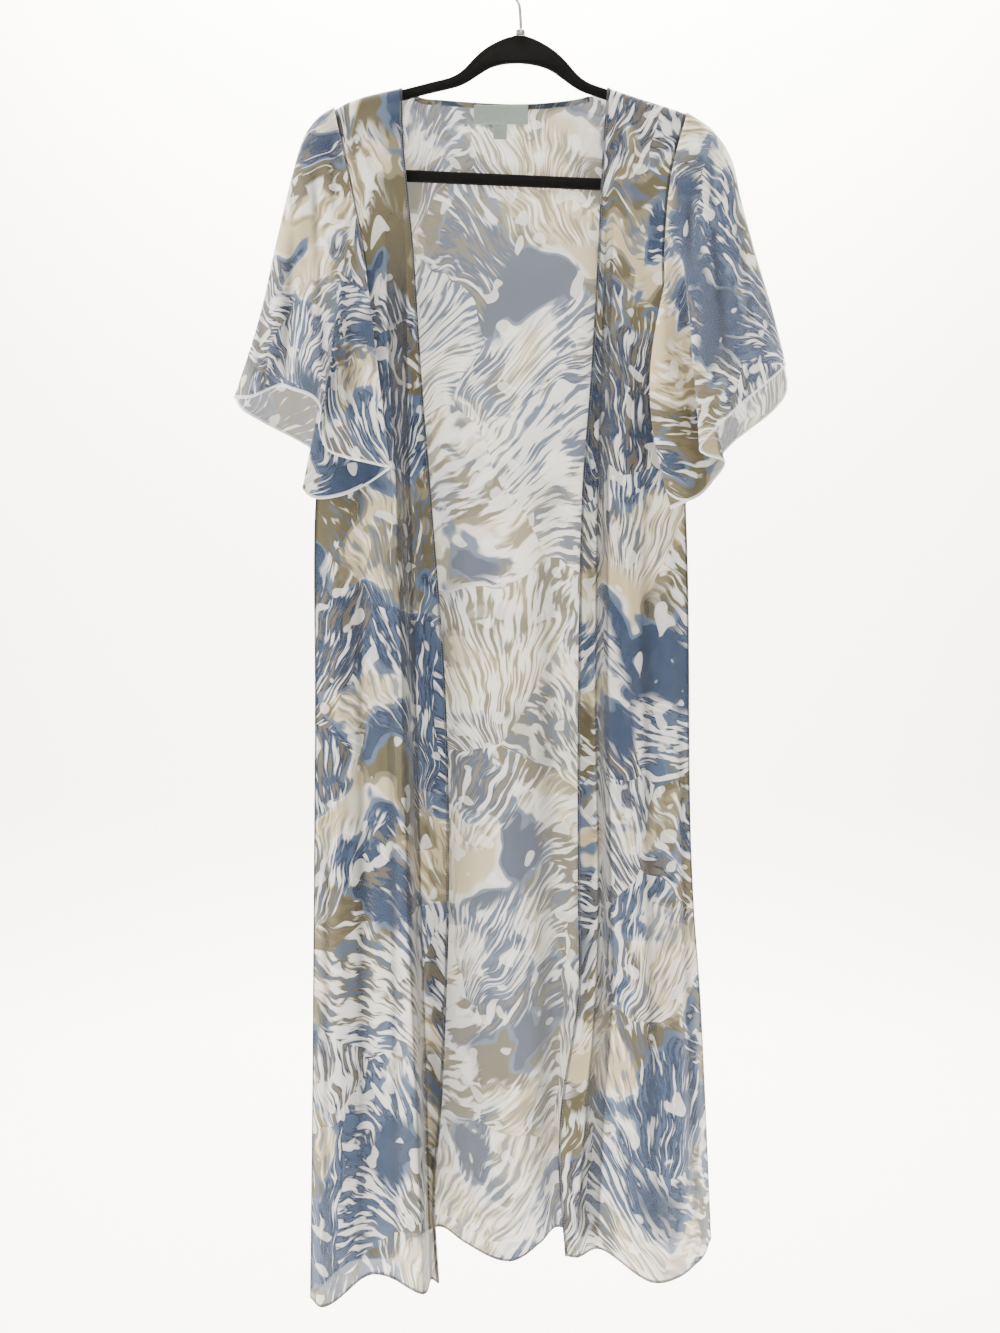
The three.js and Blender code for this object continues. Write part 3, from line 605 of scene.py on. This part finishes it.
def press(grid, folds, sign, front_only=False):
    """Folds, given one by one: each is a line in X and Z with a width and a depth, positive outwards.

    Returns how much painted shade darkens each point at the bottom of an inward fold.
    """
    painted_fold_shade = [[0.0] * len(row) for row in grid]
    for fold in folds:
        start, end = Vector((fold["x0"], fold["z0"])), Vector((fold["x1"], fold["z1"]))
        leg = end - start
        for r, row in enumerate(grid):
            for c, p in enumerate(row):
                if front_only and p.y > -2 or abs(p.x - (start.x + end.x) / 2) > 45:
                    continue
                t = (Vector((p.x, p.z)) - start).dot(leg) / leg.length_squared
                aside = (Vector((p.x, p.z)) - start - leg * t).length / fold["width"]
                if -0.2 < t < 1.2 and aside < 3:
                    ends = smoothstep(t, -0.2, 0.25) * smoothstep(-t, -1.2, -0.75)
                    p.y += sign * fold["depth"] * math.exp(-aside * aside) * ends
                    # Only inward folds get painted shade, strongest along their bottom line.
                    if fold["depth"] < 0:
                        painted_fold_shade[r][c] = max(painted_fold_shade[r][c], 0.55 * math.exp(-(aside * 1.4) ** 2) * ends)
    return painted_fold_shade


def cloth_piece(name, mesh, nodes, materials):
    """A hung sheet with its thin shell."""
    piece = add_piece(name, mesh, materials)
    piece.vertex_groups.new(name="rolled")
    shell = piece.modifiers.new("shell", "SOLIDIFY")
    shell.thickness = ROLLED * MM
    shell.offset = 0
    shell.vertex_group = "rolled"
    shell.thickness_vertex_group = CLOTH / ROLLED
    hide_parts(*nodes)
    return piece


# The alpha is for each side of a layer's shell, so one layer hides about 0.95 of what is behind it.
chiffon = printed_chiffon("printed_polyester_chiffon", 0.78, "#ffffff", 0)
light_chiffon = printed_chiffon("printed_polyester_chiffon_middle", 0.86, "#ffffff", 0, light=0.055)
chiffon_hem = printed_chiffon("rolled_chiffon_hem", 0.92, "#1c2129", 0.8)

BACK_FOLDS = table(
    "x0 z0 x1 z1 width depth",
    (-60, -420, -40, -1340, 16, 4), (30, -600, 25, -1340, 14, -4), (-100, -700, -85, -1340, 12, -3),
    (70, -500, 60, -1300, 12, 3), (-10, -900, 0, -1350, 12, 4),
)

back_grid = []
for drop in body_drops():
    row = back_row(drop)
    back_grid.append(resample(row, across(row_length(row), BACK_COLUMNS, True, True)))
# Painted shade at the bottoms of the back's inward folds.
back_painted_fold_shade = press(back_grid, BACK_FOLDS, -1)
back_mesh = cloth_mesh("back_panel", back_grid, (0.31, 0.17), ("left", "right", "bottom"),
                       painted_fold_shade=back_painted_fold_shade)
back = cloth_piece("back_panel", back_mesh, ["back"],
                   [light_chiffon, chiffon_hem])


# Fronts and their facings.
# Each front is a straight width of the same chiffon, sewn to the back at the shoulder and the side.
# Its free edge is rolled and backed on the inside by a narrow strip that shows through as a line.
FRONT_COLUMNS = "z edge_x edge_y groove_x groove_y crest_x crest_y panel_y flank_y"
FRONT_RIGHT = table(
    FRONT_COLUMNS,
    (-135, -124, -5.8, -128, -5.8, -142, -5.8, -5.8, -5.8),
    (-200, -122, -6, -127, -6, -142, -6.2, -6.2, -6.2),
    (-305, -112, -6.5, -122, -5.5, -140, -9, -8.5, -8), (-400, -106, -6.5, -120, -3.5, -138, -12, -9, -7),
    (-460, -102, -6.5, -119, -3, -135, -14, -9, -4.5), (-570, -93, -6, -116, -1, -129, -18, -10, -7),
    (-780, -78, -4, -110, 0, -122, -27, -12, -13), (-985, -75, 0, -105, 3, -116, -36, -14, -19),
    (-1190, -82, -3, -99, 4, -107, -45, -15, -27), (-1300, -90, -12, -96, -6, -102, -50, -16, -33),
    (-1385, -85, -20, -92, -15, -99, -52, -16, -36),
)
FRONT_LEFT = table(
    FRONT_COLUMNS,
    (-135, 91, -5.8, 94, -5.8, 100, -5.8, -5.8, -5.8), (-200, 86, -6, 91, -6, 98, -6.5, -6.2, -6.2),
    (-305, 81, -6, 89, -5, 96, -9, -8.5, -8), (-400, 76, -6.5, 86, -3.5, 93, -12, -9, -7),
    (-460, 72, -6.5, 84, -3, 92, -14, -9, -4.5), (-570, 64, -6, 81, -1, 91, -18, -10, -6.5),
    (-780, 60, -4, 79, 0, 90, -26, -13, -8), (-985, 60, 0, 82, 3, 93, -33, -18, -8),
    (-1090, 60, 1, 79, 3, 94, -31, -25, -9), (-1200, 43, 0, 70, 0, 87, -20, -38, -11),
    (-1270, 40, 0, 64, -2, 84, -13, -45, -12), (-1365, 47, 0, 60, -4, 80, -5, -52, -14),
)
HEM_RIGHT = {"edge": -1382, "groove": -1380, "crest": -1378, "panel": -1374, "flank": -1399, "side": -1400}
HEM_LEFT = {"edge": -1362, "groove": -1362, "crest": -1352, "panel": -1367, "flank": -1362, "side": -1355}
PANEL_AT, FLANK_AT = 0.45, 0.85
FACING_WIDTH = 20
FRONT_COLUMN_COUNT = 76
GROOVE, CREST = 14, 28   # where a front's row passes its groove and its crest, by the steps of front_row


def front_row(front, side, hem, drop):
    """One row of a front, from its free edge over groove and crest to the side seam."""
    top, side_top = front[0], side[0]["x"]
    top_x = {"edge": top["edge_x"], "groove": top["groove_x"], "crest": top["crest_x"],
             "panel": mix(top["crest_x"], side_top, PANEL_AT),
             "flank": mix(top["crest_x"], side_top, FLANK_AT), "side": side_top}
    keys = []
    for name in hem:
        z = row_z(drop, shoulder_z(top_x[name]), hem[name])
        crest_x, side_x = along(front, "z", "crest_x", z), along(side, "z", "x", z)
        if name in ("edge", "groove", "crest"):
            x = along(front, "z", name + "_x", z)
        else:
            x = mix(crest_x, side_x, {"panel": PANEL_AT, "flank": FLANK_AT, "side": 1}[name])
        y = side_depth(side, z, -1) if name == "side" else along(front, "z", name + "_y", z)
        keys.append(Vector((x, -wrap_depth(drop, -y), z)))
    return lay_on_arm(row_through(keys, GROOVE), drop, -1)


def facing_row(row, turn):
    """Points of the strip behind a front's row, narrower where the front is folded."""
    edge, groove, crest = row[0], row[GROOVE], row[CREST]
    folded = smoothstep(groove.y - crest.y, 0.5, 3)
    width = min(FACING_WIDTH, mix(FACING_WIDTH, (groove - edge).length - 2 * LAP, folded))
    points = []
    for i in range(7):
        place = mix(0.4, width, i / 6)
        before, here, after = resample(row, [max(place - 1, 0), place, place + 1])
        tangent = after - before
        inward = Vector((-tangent.y, tangent.x, 0)).normalized() * turn
        points.append(here + inward * LAP)
    return points


def fold_band(row, places):
    """Painted shade for points of a front in its fold: dark between groove and crest, darker along these two.
    """
    groove, crest = row_length(row[:GROOVE + 1]), row_length(row[:CREST + 1])
    deep = smoothstep(row[GROOVE].y - row[CREST].y, 1, 7)
    values = []
    for place in places:
        inside = smoothstep(place, groove - 2, groove + 1) * smoothstep(-place, -crest - 1, -crest + 2)
        lines = math.exp(-((place - groove) / 1.4) ** 2) + math.exp(-((place - crest) / 1.4) ** 2)
        values.append(deep * min(0.8 * inside + 0.6 * lines, 1))
    return values


def front_places(row):
    """Distances of a front's columns along a row, with three close ones at its groove and at its crest."""
    marks = [row_length(row[:GROOVE + 1]), row_length(row[:CREST + 1])]
    even = across(row_length(row), FRONT_COLUMN_COUNT, True, True)
    return sorted(even + [mark + step for mark in marks for step in (-1.2, 0, 1.2)])


def front_pieces(name, front, side, hem, folds, uv_start):
    """A front and its facing strip. Returns the front's points for its stitches."""
    turn = math.copysign(1, side[0]["x"])
    dense = [front_row(front, side, hem, drop) for drop in body_drops()]
    places = [front_places(row) for row in dense]
    grid = [resample(row, at) for row, at in zip(dense, places)]
    # Painted shade in the pressed folds and in the band between groove and crest.
    painted_fold_shade = press(grid, folds, -1)
    for r, (row, at) in enumerate(zip(dense, places)):
        painted_fold_shade[r] = [max(a, b) for a, b in zip(painted_fold_shade[r], fold_band(row, at))]
    strip = [facing_row(row, turn) for drop, row in zip(body_drops(), dense) if drop > 20]
    if turn > 0:
        grid = [row[::-1] for row in grid]
        painted_fold_shade = [row[::-1] for row in painted_fold_shade]
        strip = [row[::-1] for row in strip]
    mesh = cloth_mesh(name + "_panel", grid, uv_start, ("left", "right", "bottom"), painted_fold_shade=painted_fold_shade)
    panel = cloth_piece(name + "_panel", mesh, [name], [chiffon, chiffon_hem])
    cloth_piece(name + "_strip", cloth_mesh(name + "_strip", strip, uv_start, ("left", "right")),
                [name + "_facing"], [chiffon, chiffon_hem])
    return grid


RIGHT_FOLDS = table(
    "x0 z0 x1 z1 width depth",
    (-152, -520, -146, -1340, 7, 4), (-168, -600, -166, -1370, 6, -4), (-190, -560, -184, -1380, 8, 5),
    (-134, -720, -128, -1350, 5, -3), (-203, -900, -200, -1390, 5, -3),
)
LEFT_FOLDS = table(
    "x0 z0 x1 z1 width depth",
    (112, -460, 116, -1250, 6, 4), (128, -560, 136, -1300, 6, -4), (150, -540, 166, -1340, 8, 5),
    (164, -760, 182, -1340, 5, -3),
)
right_grid = front_pieces("right_front", FRONT_RIGHT, SIDE_RIGHT, HEM_RIGHT, RIGHT_FOLDS,
                          (0.92, 0.41))
left_grid = front_pieces("left_front", FRONT_LEFT, SIDE_LEFT, HEM_LEFT, LEFT_FOLDS,
                         (1.63, 0.08))


# Flutter sleeves.
# Each is one wide piece of chiffon, gathered a little into the armhole and closed at the underarm.
# Its rolled hem falls in loose folds, and the front layer folds back on itself towards the underarm.
SLEEVE_COLUMNS = "seam_z front_x front_y front_z back_x back_y back_z"
SLEEVE_RIGHT = table(
    SLEEVE_COLUMNS,
    (-157, -299, 0, -463, -299, 0, -463), (-161, -296, -20, -465, -296, 18, -470),
    (-176, -273, -48, -470, -276, 38, -481), (-198, -248, -46, -459, -257, 46, -490),
    (-222, -229, -68, -467, -241, 50, -498), (-246, -209, -74, -475, -228, 52, -506),
    (-264, -203, -54, -483, -221, 51, -515), (-280, -207, -34, -500, -215, 49, -524),
    (-300, -198, -42, -522, -208, 47, -534), (-320, -178, -60, -533, -202, 45, -541),
    (-336, -157, -62, -538, -198, 43, -547), (-346, -142, -50, -540, -196, 40, -551),
    (-351, -134, -41, -541, -195, 37, -554), (-357, -140, -32, -544, -196, 33, -556),
    (-377, -160, -30, -557, -201, 27, -558), (-403, -186, -30, -568, -210, 20, -561),
    (-430, -214, -20, -569, -221, 11, -561), (-450, -229, 0, -556, -229, 0, -556),
)
SLEEVE_LEFT = table(
    SLEEVE_COLUMNS,
    (-162.5, 277, 0, -428, 277, 0, -428), (-167, 275, -18, -431, 284, 20, -450),
    (-182, 262, -44, -445, 275, 38, -466), (-203, 243, -57, -462, 254, 48, -483),
    (-226, 217, -63, -484, 232, 53, -500), (-248, 178, -72, -525, 219, 54, -515),
    (-265, 186, -53, -529, 210, 53, -530), (-281, 209, -35, -535, 204, 51, -543),
    (-300, 195, -34, -556, 198, 49, -552), (-320, 181, -48, -570, 193, 46, -556),
    (-336, 168, -58, -577, 190, 43, -558), (-346, 159, -55, -580, 188, 40, -559),
    (-351, 153, -45, -582, 187, 37, -559), (-357, 157, -31, -581, 187, 33, -559),
    (-377, 168, -26, -574, 188, 27, -558), (-403, 180, -23, -566, 190, 20, -557),
    (-430, 191, -16, -556, 194, 11, -552), (-450, 200, 0, -545, 200, 0, -545),
)
TOP_LINE_RIGHT = table(
    "at x z", (0, -195, -157), (0.065, -213, -169.5), (0.13, -227, -189), (0.27, -240, -232),
    (0.49, -256, -300), (0.77, -276, -389), (1, -299, -463),
)
TOP_LINE_LEFT = table(
    "at x z", (0, 174, -162.5), (0.12, 202, -182), (0.23, 221, -211), (0.38, 231, -253), (0.62, 249, -320),
    (0.8, 263, -368), (1, 277, -428),
)
FOLD_TIP = 12         # the column where the front layer turns back
FOLD_GAP = 5
SLEEVE_LENGTH, SLEEVE_ROWS = 330, 56


def armhole_point(sleeve, top_line, side, index, sign, out):
    """Where a sleeve's column leaves the armhole, lapped just outside the body's edge."""
    seam_z = sleeve[index]["seam_z"]
    x = along(side, "z", "x", seam_z)
    seam_x = x + out * SEAM_ALLOWANCE
    depth = abs(along(side, "z", "y", seam_z))
    lower, upper = max(depth, 2.5) + LAP + 1, max(depth, 5.8) + LAP
    if index == 0:
        return Vector((top_line[0]["x"] + out * SEAM_ALLOWANCE, 0, top_line[0]["z"] + LAP))
    if index == 1:
        return Vector((seam_x, sign * 7.3, seam_z + LAP))
    if index == len(sleeve) - 1:
        return Vector((x + out * 4, 0, seam_z - LAP))
    if index > FOLD_TIP:
        return Vector((seam_x, sign * lower, seam_z))
    share = index / FOLD_TIP
    if sign > 0:
        return Vector((seam_x, mix(upper, lower, share**3), seam_z))
    lapped = seam_x - out * (SEAM_ALLOWANCE + FOLD_GAP / 2) * share**8
    depth = lower + FOLD_GAP / 2 if index == FOLD_TIP else upper + (1 + FOLD_GAP) * share**3
    return Vector((lapped, -depth, seam_z))


def sleeve_point(sleeve, top_line, side, fold_bow, index, sign, out, t):
    """A point of one column, a share t of the way from the armhole to the hem."""
    column = sleeve[index]
    layer = "front" if sign < 0 else "back"
    end = Vector([column[layer + axis] for axis in ("_x", "_y", "_z")])
    p = armhole_point(sleeve, top_line, side, index, sign, out).lerp(end, t)
    near = max(1 - index / FOLD_TIP, 0) ** 1.6
    p.x += (along(top_line, "at", "x", t) - mix(top_line[0]["x"], top_line[-1]["x"], t)) * near
    p.z += (along(top_line, "at", "z", t) - mix(top_line[0]["z"], top_line[-1]["z"], t)) * near
    p.x += fold_bow * math.sin(math.pi * t) * max(1 - abs(index - FOLD_TIP) / 6, 0)
    return p


def closed_row(keys, steps):
    """A smooth closed curve through its key points."""
    count = len(keys)
    row = []
    for i in range(count):
        four = [keys[(i + k - 1) % count] for k in range(4)]
        row += [curve_point(four, k / steps) for k in range(steps)]
    return row + [keys[0].copy()]


def sleeve_grid(sleeve, top_line, side, fold_bow):
    """Closed rings of points from the armhole down to the hem."""
    out = math.copysign(1, side[0]["x"])
    last = len(sleeve) - 1
    shares = [i / SLEEVE_ROWS * (1 - 7 / SLEEVE_LENGTH) for i in range(SLEEVE_ROWS + 1)]
    shares += [1 - drop / SLEEVE_LENGTH for drop in (HEM + 1, HEM, 1.2, 0)]
    grid = []
    for t in shares:
        ring = [sleeve_point(sleeve, top_line, side, fold_bow, i, -1, out, t) for i in range(last + 1)]
        ring += [sleeve_point(sleeve, top_line, side, fold_bow, i, 1, out, t) for i in range(last - 1, 0, -1)]
        if out < 0:
            ring = ring[::-1]
        grid.append(closed_row(ring, 8))
    return grid


SLEEVE_RIGHT_FOLDS = table(
    "x0 z0 x1 z1 width depth",
    (-217, -238, -206, -370, 5, -4), (-206, -370, -200, -450, 5, -4), (-236, -300, -243, -440, 6, -4),
    (-197, -208, -195, -275, 4, -3), (-226, -250, -228, -420, 6, 3), (-262, -330, -272, -440, 7, -3),
    (-180, -400, -172, -520, 6, -3),
)
SLEEVE_LEFT_FOLDS = table(
    "x0 z0 x1 z1 width depth",
    (198, -215, 200, -275, 4, -3), (176, -260, 174, -332, 4, -4), (199, -290, 208, -440, 6, -4),
    (222, -260, 236, -410, 7, -3), (186, -300, 190, -440, 6, 3), (241, -330, 258, -415, 6, -3),
)
# The sleeves' rolled hems are painted near white: a painted highlight along their edge.
sleeve_hem = printed_chiffon("rolled_sleeve_hem", 0.9, "#fdfdfc", 0.6)
sleeve_grids = []
for name, sleeve, top_line, side, fold_bow, folds, uv_start, flat, area in (
    ("right_sleeve", SLEEVE_RIGHT, TOP_LINE_RIGHT, SIDE_RIGHT, 0, SLEEVE_RIGHT_FOLDS,
     (2.3, 0.5), (0.644, 0.332), 0.102),
    ("left_sleeve", SLEEVE_LEFT, TOP_LINE_LEFT, SIDE_LEFT, -18, SLEEVE_LEFT_FOLDS,
     (3.1, 0.9), (0.637, 0.312), 0.107),
):
    grid = sleeve_grid(sleeve, top_line, side, fold_bow)
    # Painted shade at the bottoms of the sleeve's inward folds.
    painted_fold_shade = press(grid, folds, -1, front_only=True)
    sleeve_grids.append(grid)
    mesh = cloth_mesh(name + "_cloth", grid, uv_start, ("bottom",), closed=True, painted_fold_shade=painted_fold_shade)
    cloth_piece(name + "_cloth", mesh, [name], [chiffon, sleeve_hem])


# Hem stitching.
# Spun polyester thread in short lockstitches, sewn through every rolled hem by machine.
# A stitch is 2.2 mm long with a 0.8 mm gap, and lies on both faces of the hem.
STITCH, STITCH_GAP, THREAD = 2.2, 0.8, 0.3


def spun_thread():
    """Spun polyester sewing thread: grey, with a dull sheen and its twist as faint ribs."""
    material, tree, surface = new_material("spun_polyester_thread")
    place = tree.nodes.new("ShaderNodeTexCoord").outputs["Object"]
    twist = add_node(tree, "TexNoise", {}, {"Vector": place, "Scale": 900, "Detail": 1})
    tone = add_node(tree, "Mix", {"data_type": "RGBA"},
                    {0: twist, 6: linear("#6d747c"), 7: linear("#8f959b")})
    thread = add_node(tree, "BsdfPrincipled", {}, {
        "Base Color": tone.outputs[2], "Roughness": 0.6, "Sheen Weight": 0.3})
    tree.links.new(thread.outputs["BSDF"], surface)
    return material


def hem_line(grid, edge):
    """The line of stitches along one hem: points in the middle of the cloth, and the way out of its face."""
    strips = [list(column) for column in zip(*grid)] if edge == "bottom" else grid
    strips = [strip if edge == "left" else strip[::-1] for strip in strips]
    pairs = [resample(strip[:14], [HEM * 0.7, HEM * 1.6]) for strip in strips]
    line = []
    for i, (here, inner) in enumerate(pairs):
        before, after = pairs[max(i - 1, 0)][0], pairs[min(i + 1, len(pairs) - 1)][0]
        line.append((here, (after - before).cross(inner - here).normalized()))
    return line


def stitches(line):
    """Two ends of each stitch along a line, on both faces of the hem."""
    points = [p for p, _ in line]
    count = int(row_length(points) / (STITCH + STITCH_GAP))
    starts = [i * (STITCH + STITCH_GAP) for i in range(count)]
    near = resample(points, starts)
    far = resample(points, [start + STITCH for start in starts])
    lengths = distances_along(points)
    ends, i = [], 0
    for start, a, b in zip(starts, near, far):
        while i < len(line) - 2 and lengths[i + 1] < start:
            i += 1
        for lift in (ROLLED / 2 + THREAD / 4, -ROLLED / 2 - THREAD / 4):
            ends.append((a + line[i][1] * lift, b + line[i][1] * lift))
    return ends


hem_lines = [hem_line(back_grid, "bottom")] + [hem_line(grid, "bottom") for grid in sleeve_grids]
for front_grid, free_edge in ((right_grid, "left"), (left_grid, "right")):
    hem_lines += [hem_line(front_grid, "bottom"), hem_line(front_grid[8:], free_edge)]
sewn = [ends for line in hem_lines for ends in stitches(line)]
add_piece("hem_stitching", wire_mesh("hem_stitching", THREAD, 0, sewn), [spun_thread()])


# Neck binding, label and size tab.
# The binding is a folded strip of the same chiffon, sewn inside the back neck. The label is a blank
# damask-woven patch sewn at its ends, and a blank size tab is caught under it.
NECK_BINDING = 6
LABEL = {"x": -49, "width": 57, "top": -151.5, "height": 20.5, "layers": 2, "thickness": 0.8}
SIZE_TAB = {"x": -28.5, "width": 14, "top": -169, "height": 18, "layers": 1, "thickness": 0.8}


def woven_damask():
    """Polyester damask ribbon with a satin face: grey-green, with fine crosswise ribs and a soft sheen."""
    material, tree, surface = new_material("woven_damask_ribbon")
    place = tree.nodes.new("ShaderNodeTexCoord").outputs["Object"]
    ribs = add_node(tree, "TexWave", {"bands_direction": "Z"}, {
        "Vector": place, "Scale": 420, "Distortion": 0.4})
    mottle = add_node(tree, "TexNoise", {}, {"Vector": place, "Scale": 260, "Detail": 3})
    tone = add_node(tree, "Mix", {"data_type": "RGBA"},
                    {0: mottle, 6: linear("#6f7a76"), 7: linear("#838d89")})
    bump = add_node(tree, "Bump", {}, {"Strength": 0.4, "Distance": 0.0002, "Height": ribs.outputs["Fac"]})
    satin = add_node(tree, "BsdfPrincipled", {}, {
        "Base Color": tone.outputs[2], "Roughness": 0.5, "Sheen Weight": 0.2,
        "Normal": bump})
    tree.links.new(satin.outputs["BSDF"], surface)
    return material


def back_surface(x, z):
    """The back's face under the neck."""
    return Vector((x, along(BACK_DEPTH, "z", "y", z), z))


def patch_mesh(name, patch):
    """A thin plate that follows the back, with its edges rounded."""
    bm = bmesh.new()
    bmesh.ops.create_grid(bm, x_segments=12, y_segments=6, size=1)
    for vert in bm.verts:
        x = patch["x"] + (vert.co.x + 1) / 2 * patch["width"]
        z = patch["top"] - (1 - vert.co.y) / 2 * patch["height"]
        vert.co = (back_surface(x, z) - Vector((0, patch["layers"] * LAP + SEAM_ALLOWANCE, 0))) * MM
    for face in bm.faces:
        face.smooth = True
    return finished(bm, name)


damask = woven_damask()
for name, patch, node in (("woven_label", LABEL, "label"), ("woven_size_tab", SIZE_TAB, "size_tab")):
    piece = add_piece(name, patch_mesh(name, patch), [damask])
    shell = piece.modifiers.new("shell", "SOLIDIFY")
    shell.thickness = patch["thickness"] * MM
    shell.offset = 0
    rounding = piece.modifiers.new("rounding", "BEVEL")
    rounding.width = 0.2 * MM
    rounding.segments = 2
    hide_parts(node)

neck_keys = [key for key in BACK_KEYS if key["neck_z"] is not None]
neck_edge = row_through([Vector((mix(SIDE_RIGHT[0]["x"], SIDE_LEFT[0]["x"], key["at"]), 0, key["neck_z"]))
                         for key in neck_keys], 10)[5:-5]
binding_grid = []
for drop in [NECK_BINDING * i / 4 for i in range(5)]:
    line = [back_surface(p.x, p.z - drop - SEAM_ALLOWANCE) for p in neck_edge]
    binding_grid.append([p - Vector((0, LAP + SEAM_ALLOWANCE / 2, 0)) for p in line])
cloth_piece("neck_binding_strip", cloth_mesh("neck_binding_strip", binding_grid, (4.2, 0.3), ()),
            ["neck_binding"], [chiffon_hem, chiffon_hem])


# Floor, backdrop and light.
# A pale studio sweep behind and below the hanging garment, lit softly from the front and both sides.
# The room beyond it gives a faint fill light and shows as a pale surround.
def painted_board():
    """Matt white emulsion on a smooth board."""
    material, tree, surface = new_material("white_studio_board")
    place = tree.nodes.new("ShaderNodeTexCoord").outputs["Object"]
    mottle = add_node(tree, "TexNoise", {}, {"Vector": place, "Scale": 1.5, "Detail": 2})
    tone = add_node(tree, "Mix", {"data_type": "RGBA"},
                    {0: mottle, 6: linear("#fbfbfa"), 7: linear("#fdfdfd")})
    board = add_node(tree, "BsdfPrincipled", {}, {"Base Color": tone.outputs[2], "Roughness": 0.9})
    tree.links.new(board.outputs["BSDF"], surface)
    return material


def sweep_mesh():
    """Floor and backdrop in one sheet with a rounded corner."""
    profile = [Vector((0, -4, -1.62)), Vector((0, 1.8, -1.62))]
    profile += [Vector((0, 1.8 + 0.5 * math.sin(math.radians(a)), -1.12 - 0.5 * math.cos(math.radians(a))))
                for a in range(10, 91, 10)]
    profile.append(Vector((0, 2.3, 2.4)))
    bm = bmesh.new()
    verts = [bm.verts.new(p - Vector((4, 0, 0))) for p in profile]
    edges = [bm.edges.new(pair) for pair in zip(verts, verts[1:])]
    moved = bmesh.ops.extrude_edge_only(bm, edges=edges)["geom"]
    bmesh.ops.translate(bm, vec=(8, 0, 0), verts=[g for g in moved if isinstance(g, bmesh.types.BMVert)])
    bmesh.ops.recalc_face_normals(bm, faces=bm.faces)
    mesh = finished(bm, "studio_sweep")
    smooth(mesh)
    return mesh


sweep = bpy.data.objects.new("studio_sweep", sweep_mesh())
bpy.context.collection.objects.link(sweep)
sweep.data.materials.append(painted_board())

for name, place, aim, size, watts in (
    ("front_light", (0.4, -2.6, 1.6), (0, 0, -0.75), 1.6, 57),
    ("left_light", (-2.6, -0.9, -0.1), (0, 0, -0.75), 0.8, 78),
    ("right_light", (2.6, -1.6, -0.2), (0, 0, -0.75), 1.2, 12),
    ("backdrop_light", (0, 1.1, 2.2), (0, 2.3, -0.7), 3.0, 1400),
):
    lamp = bpy.data.lights.new(name, "AREA")
    lamp.size = size
    lamp.energy = watts
    lamp.color = linear("#fffaf0")[:3]
    light = bpy.data.objects.new(name, lamp)
    light.location = place
    light.rotation_euler = (Vector(aim) - Vector(place)).to_track_quat("-Z", "Y").to_euler()
    bpy.context.collection.objects.link(light)

world = bpy.data.worlds.new("soft_room")
world.use_nodes = True
world.node_tree.nodes["Background"].inputs["Color"].default_value = linear("#ffffff")
rays = world.node_tree.nodes.new("ShaderNodeLightPath")
glow = add_node(world.node_tree, "MapRange", {}, {
    "Value": rays.outputs["Is Camera Ray"], "To Min": 0.13, "To Max": 3.0})
world.node_tree.links.new(glow.outputs["Result"], world.node_tree.nodes["Background"].inputs["Strength"])
bpy.context.scene.world = world


# Camera.
# It stands level, 1.4 m in front of the garment, with the hook a little outside the top of the view.
camera = bpy.data.objects.new("camera", bpy.data.cameras.new("camera"))
camera.data.lens = 36
camera.data.sensor_width = 36
camera.location = (-0.0215, -1.4, -0.743)
camera.rotation_euler = (math.radians(90), 0, 0)
bpy.context.collection.objects.link(camera)
bpy.context.scene.camera = camera
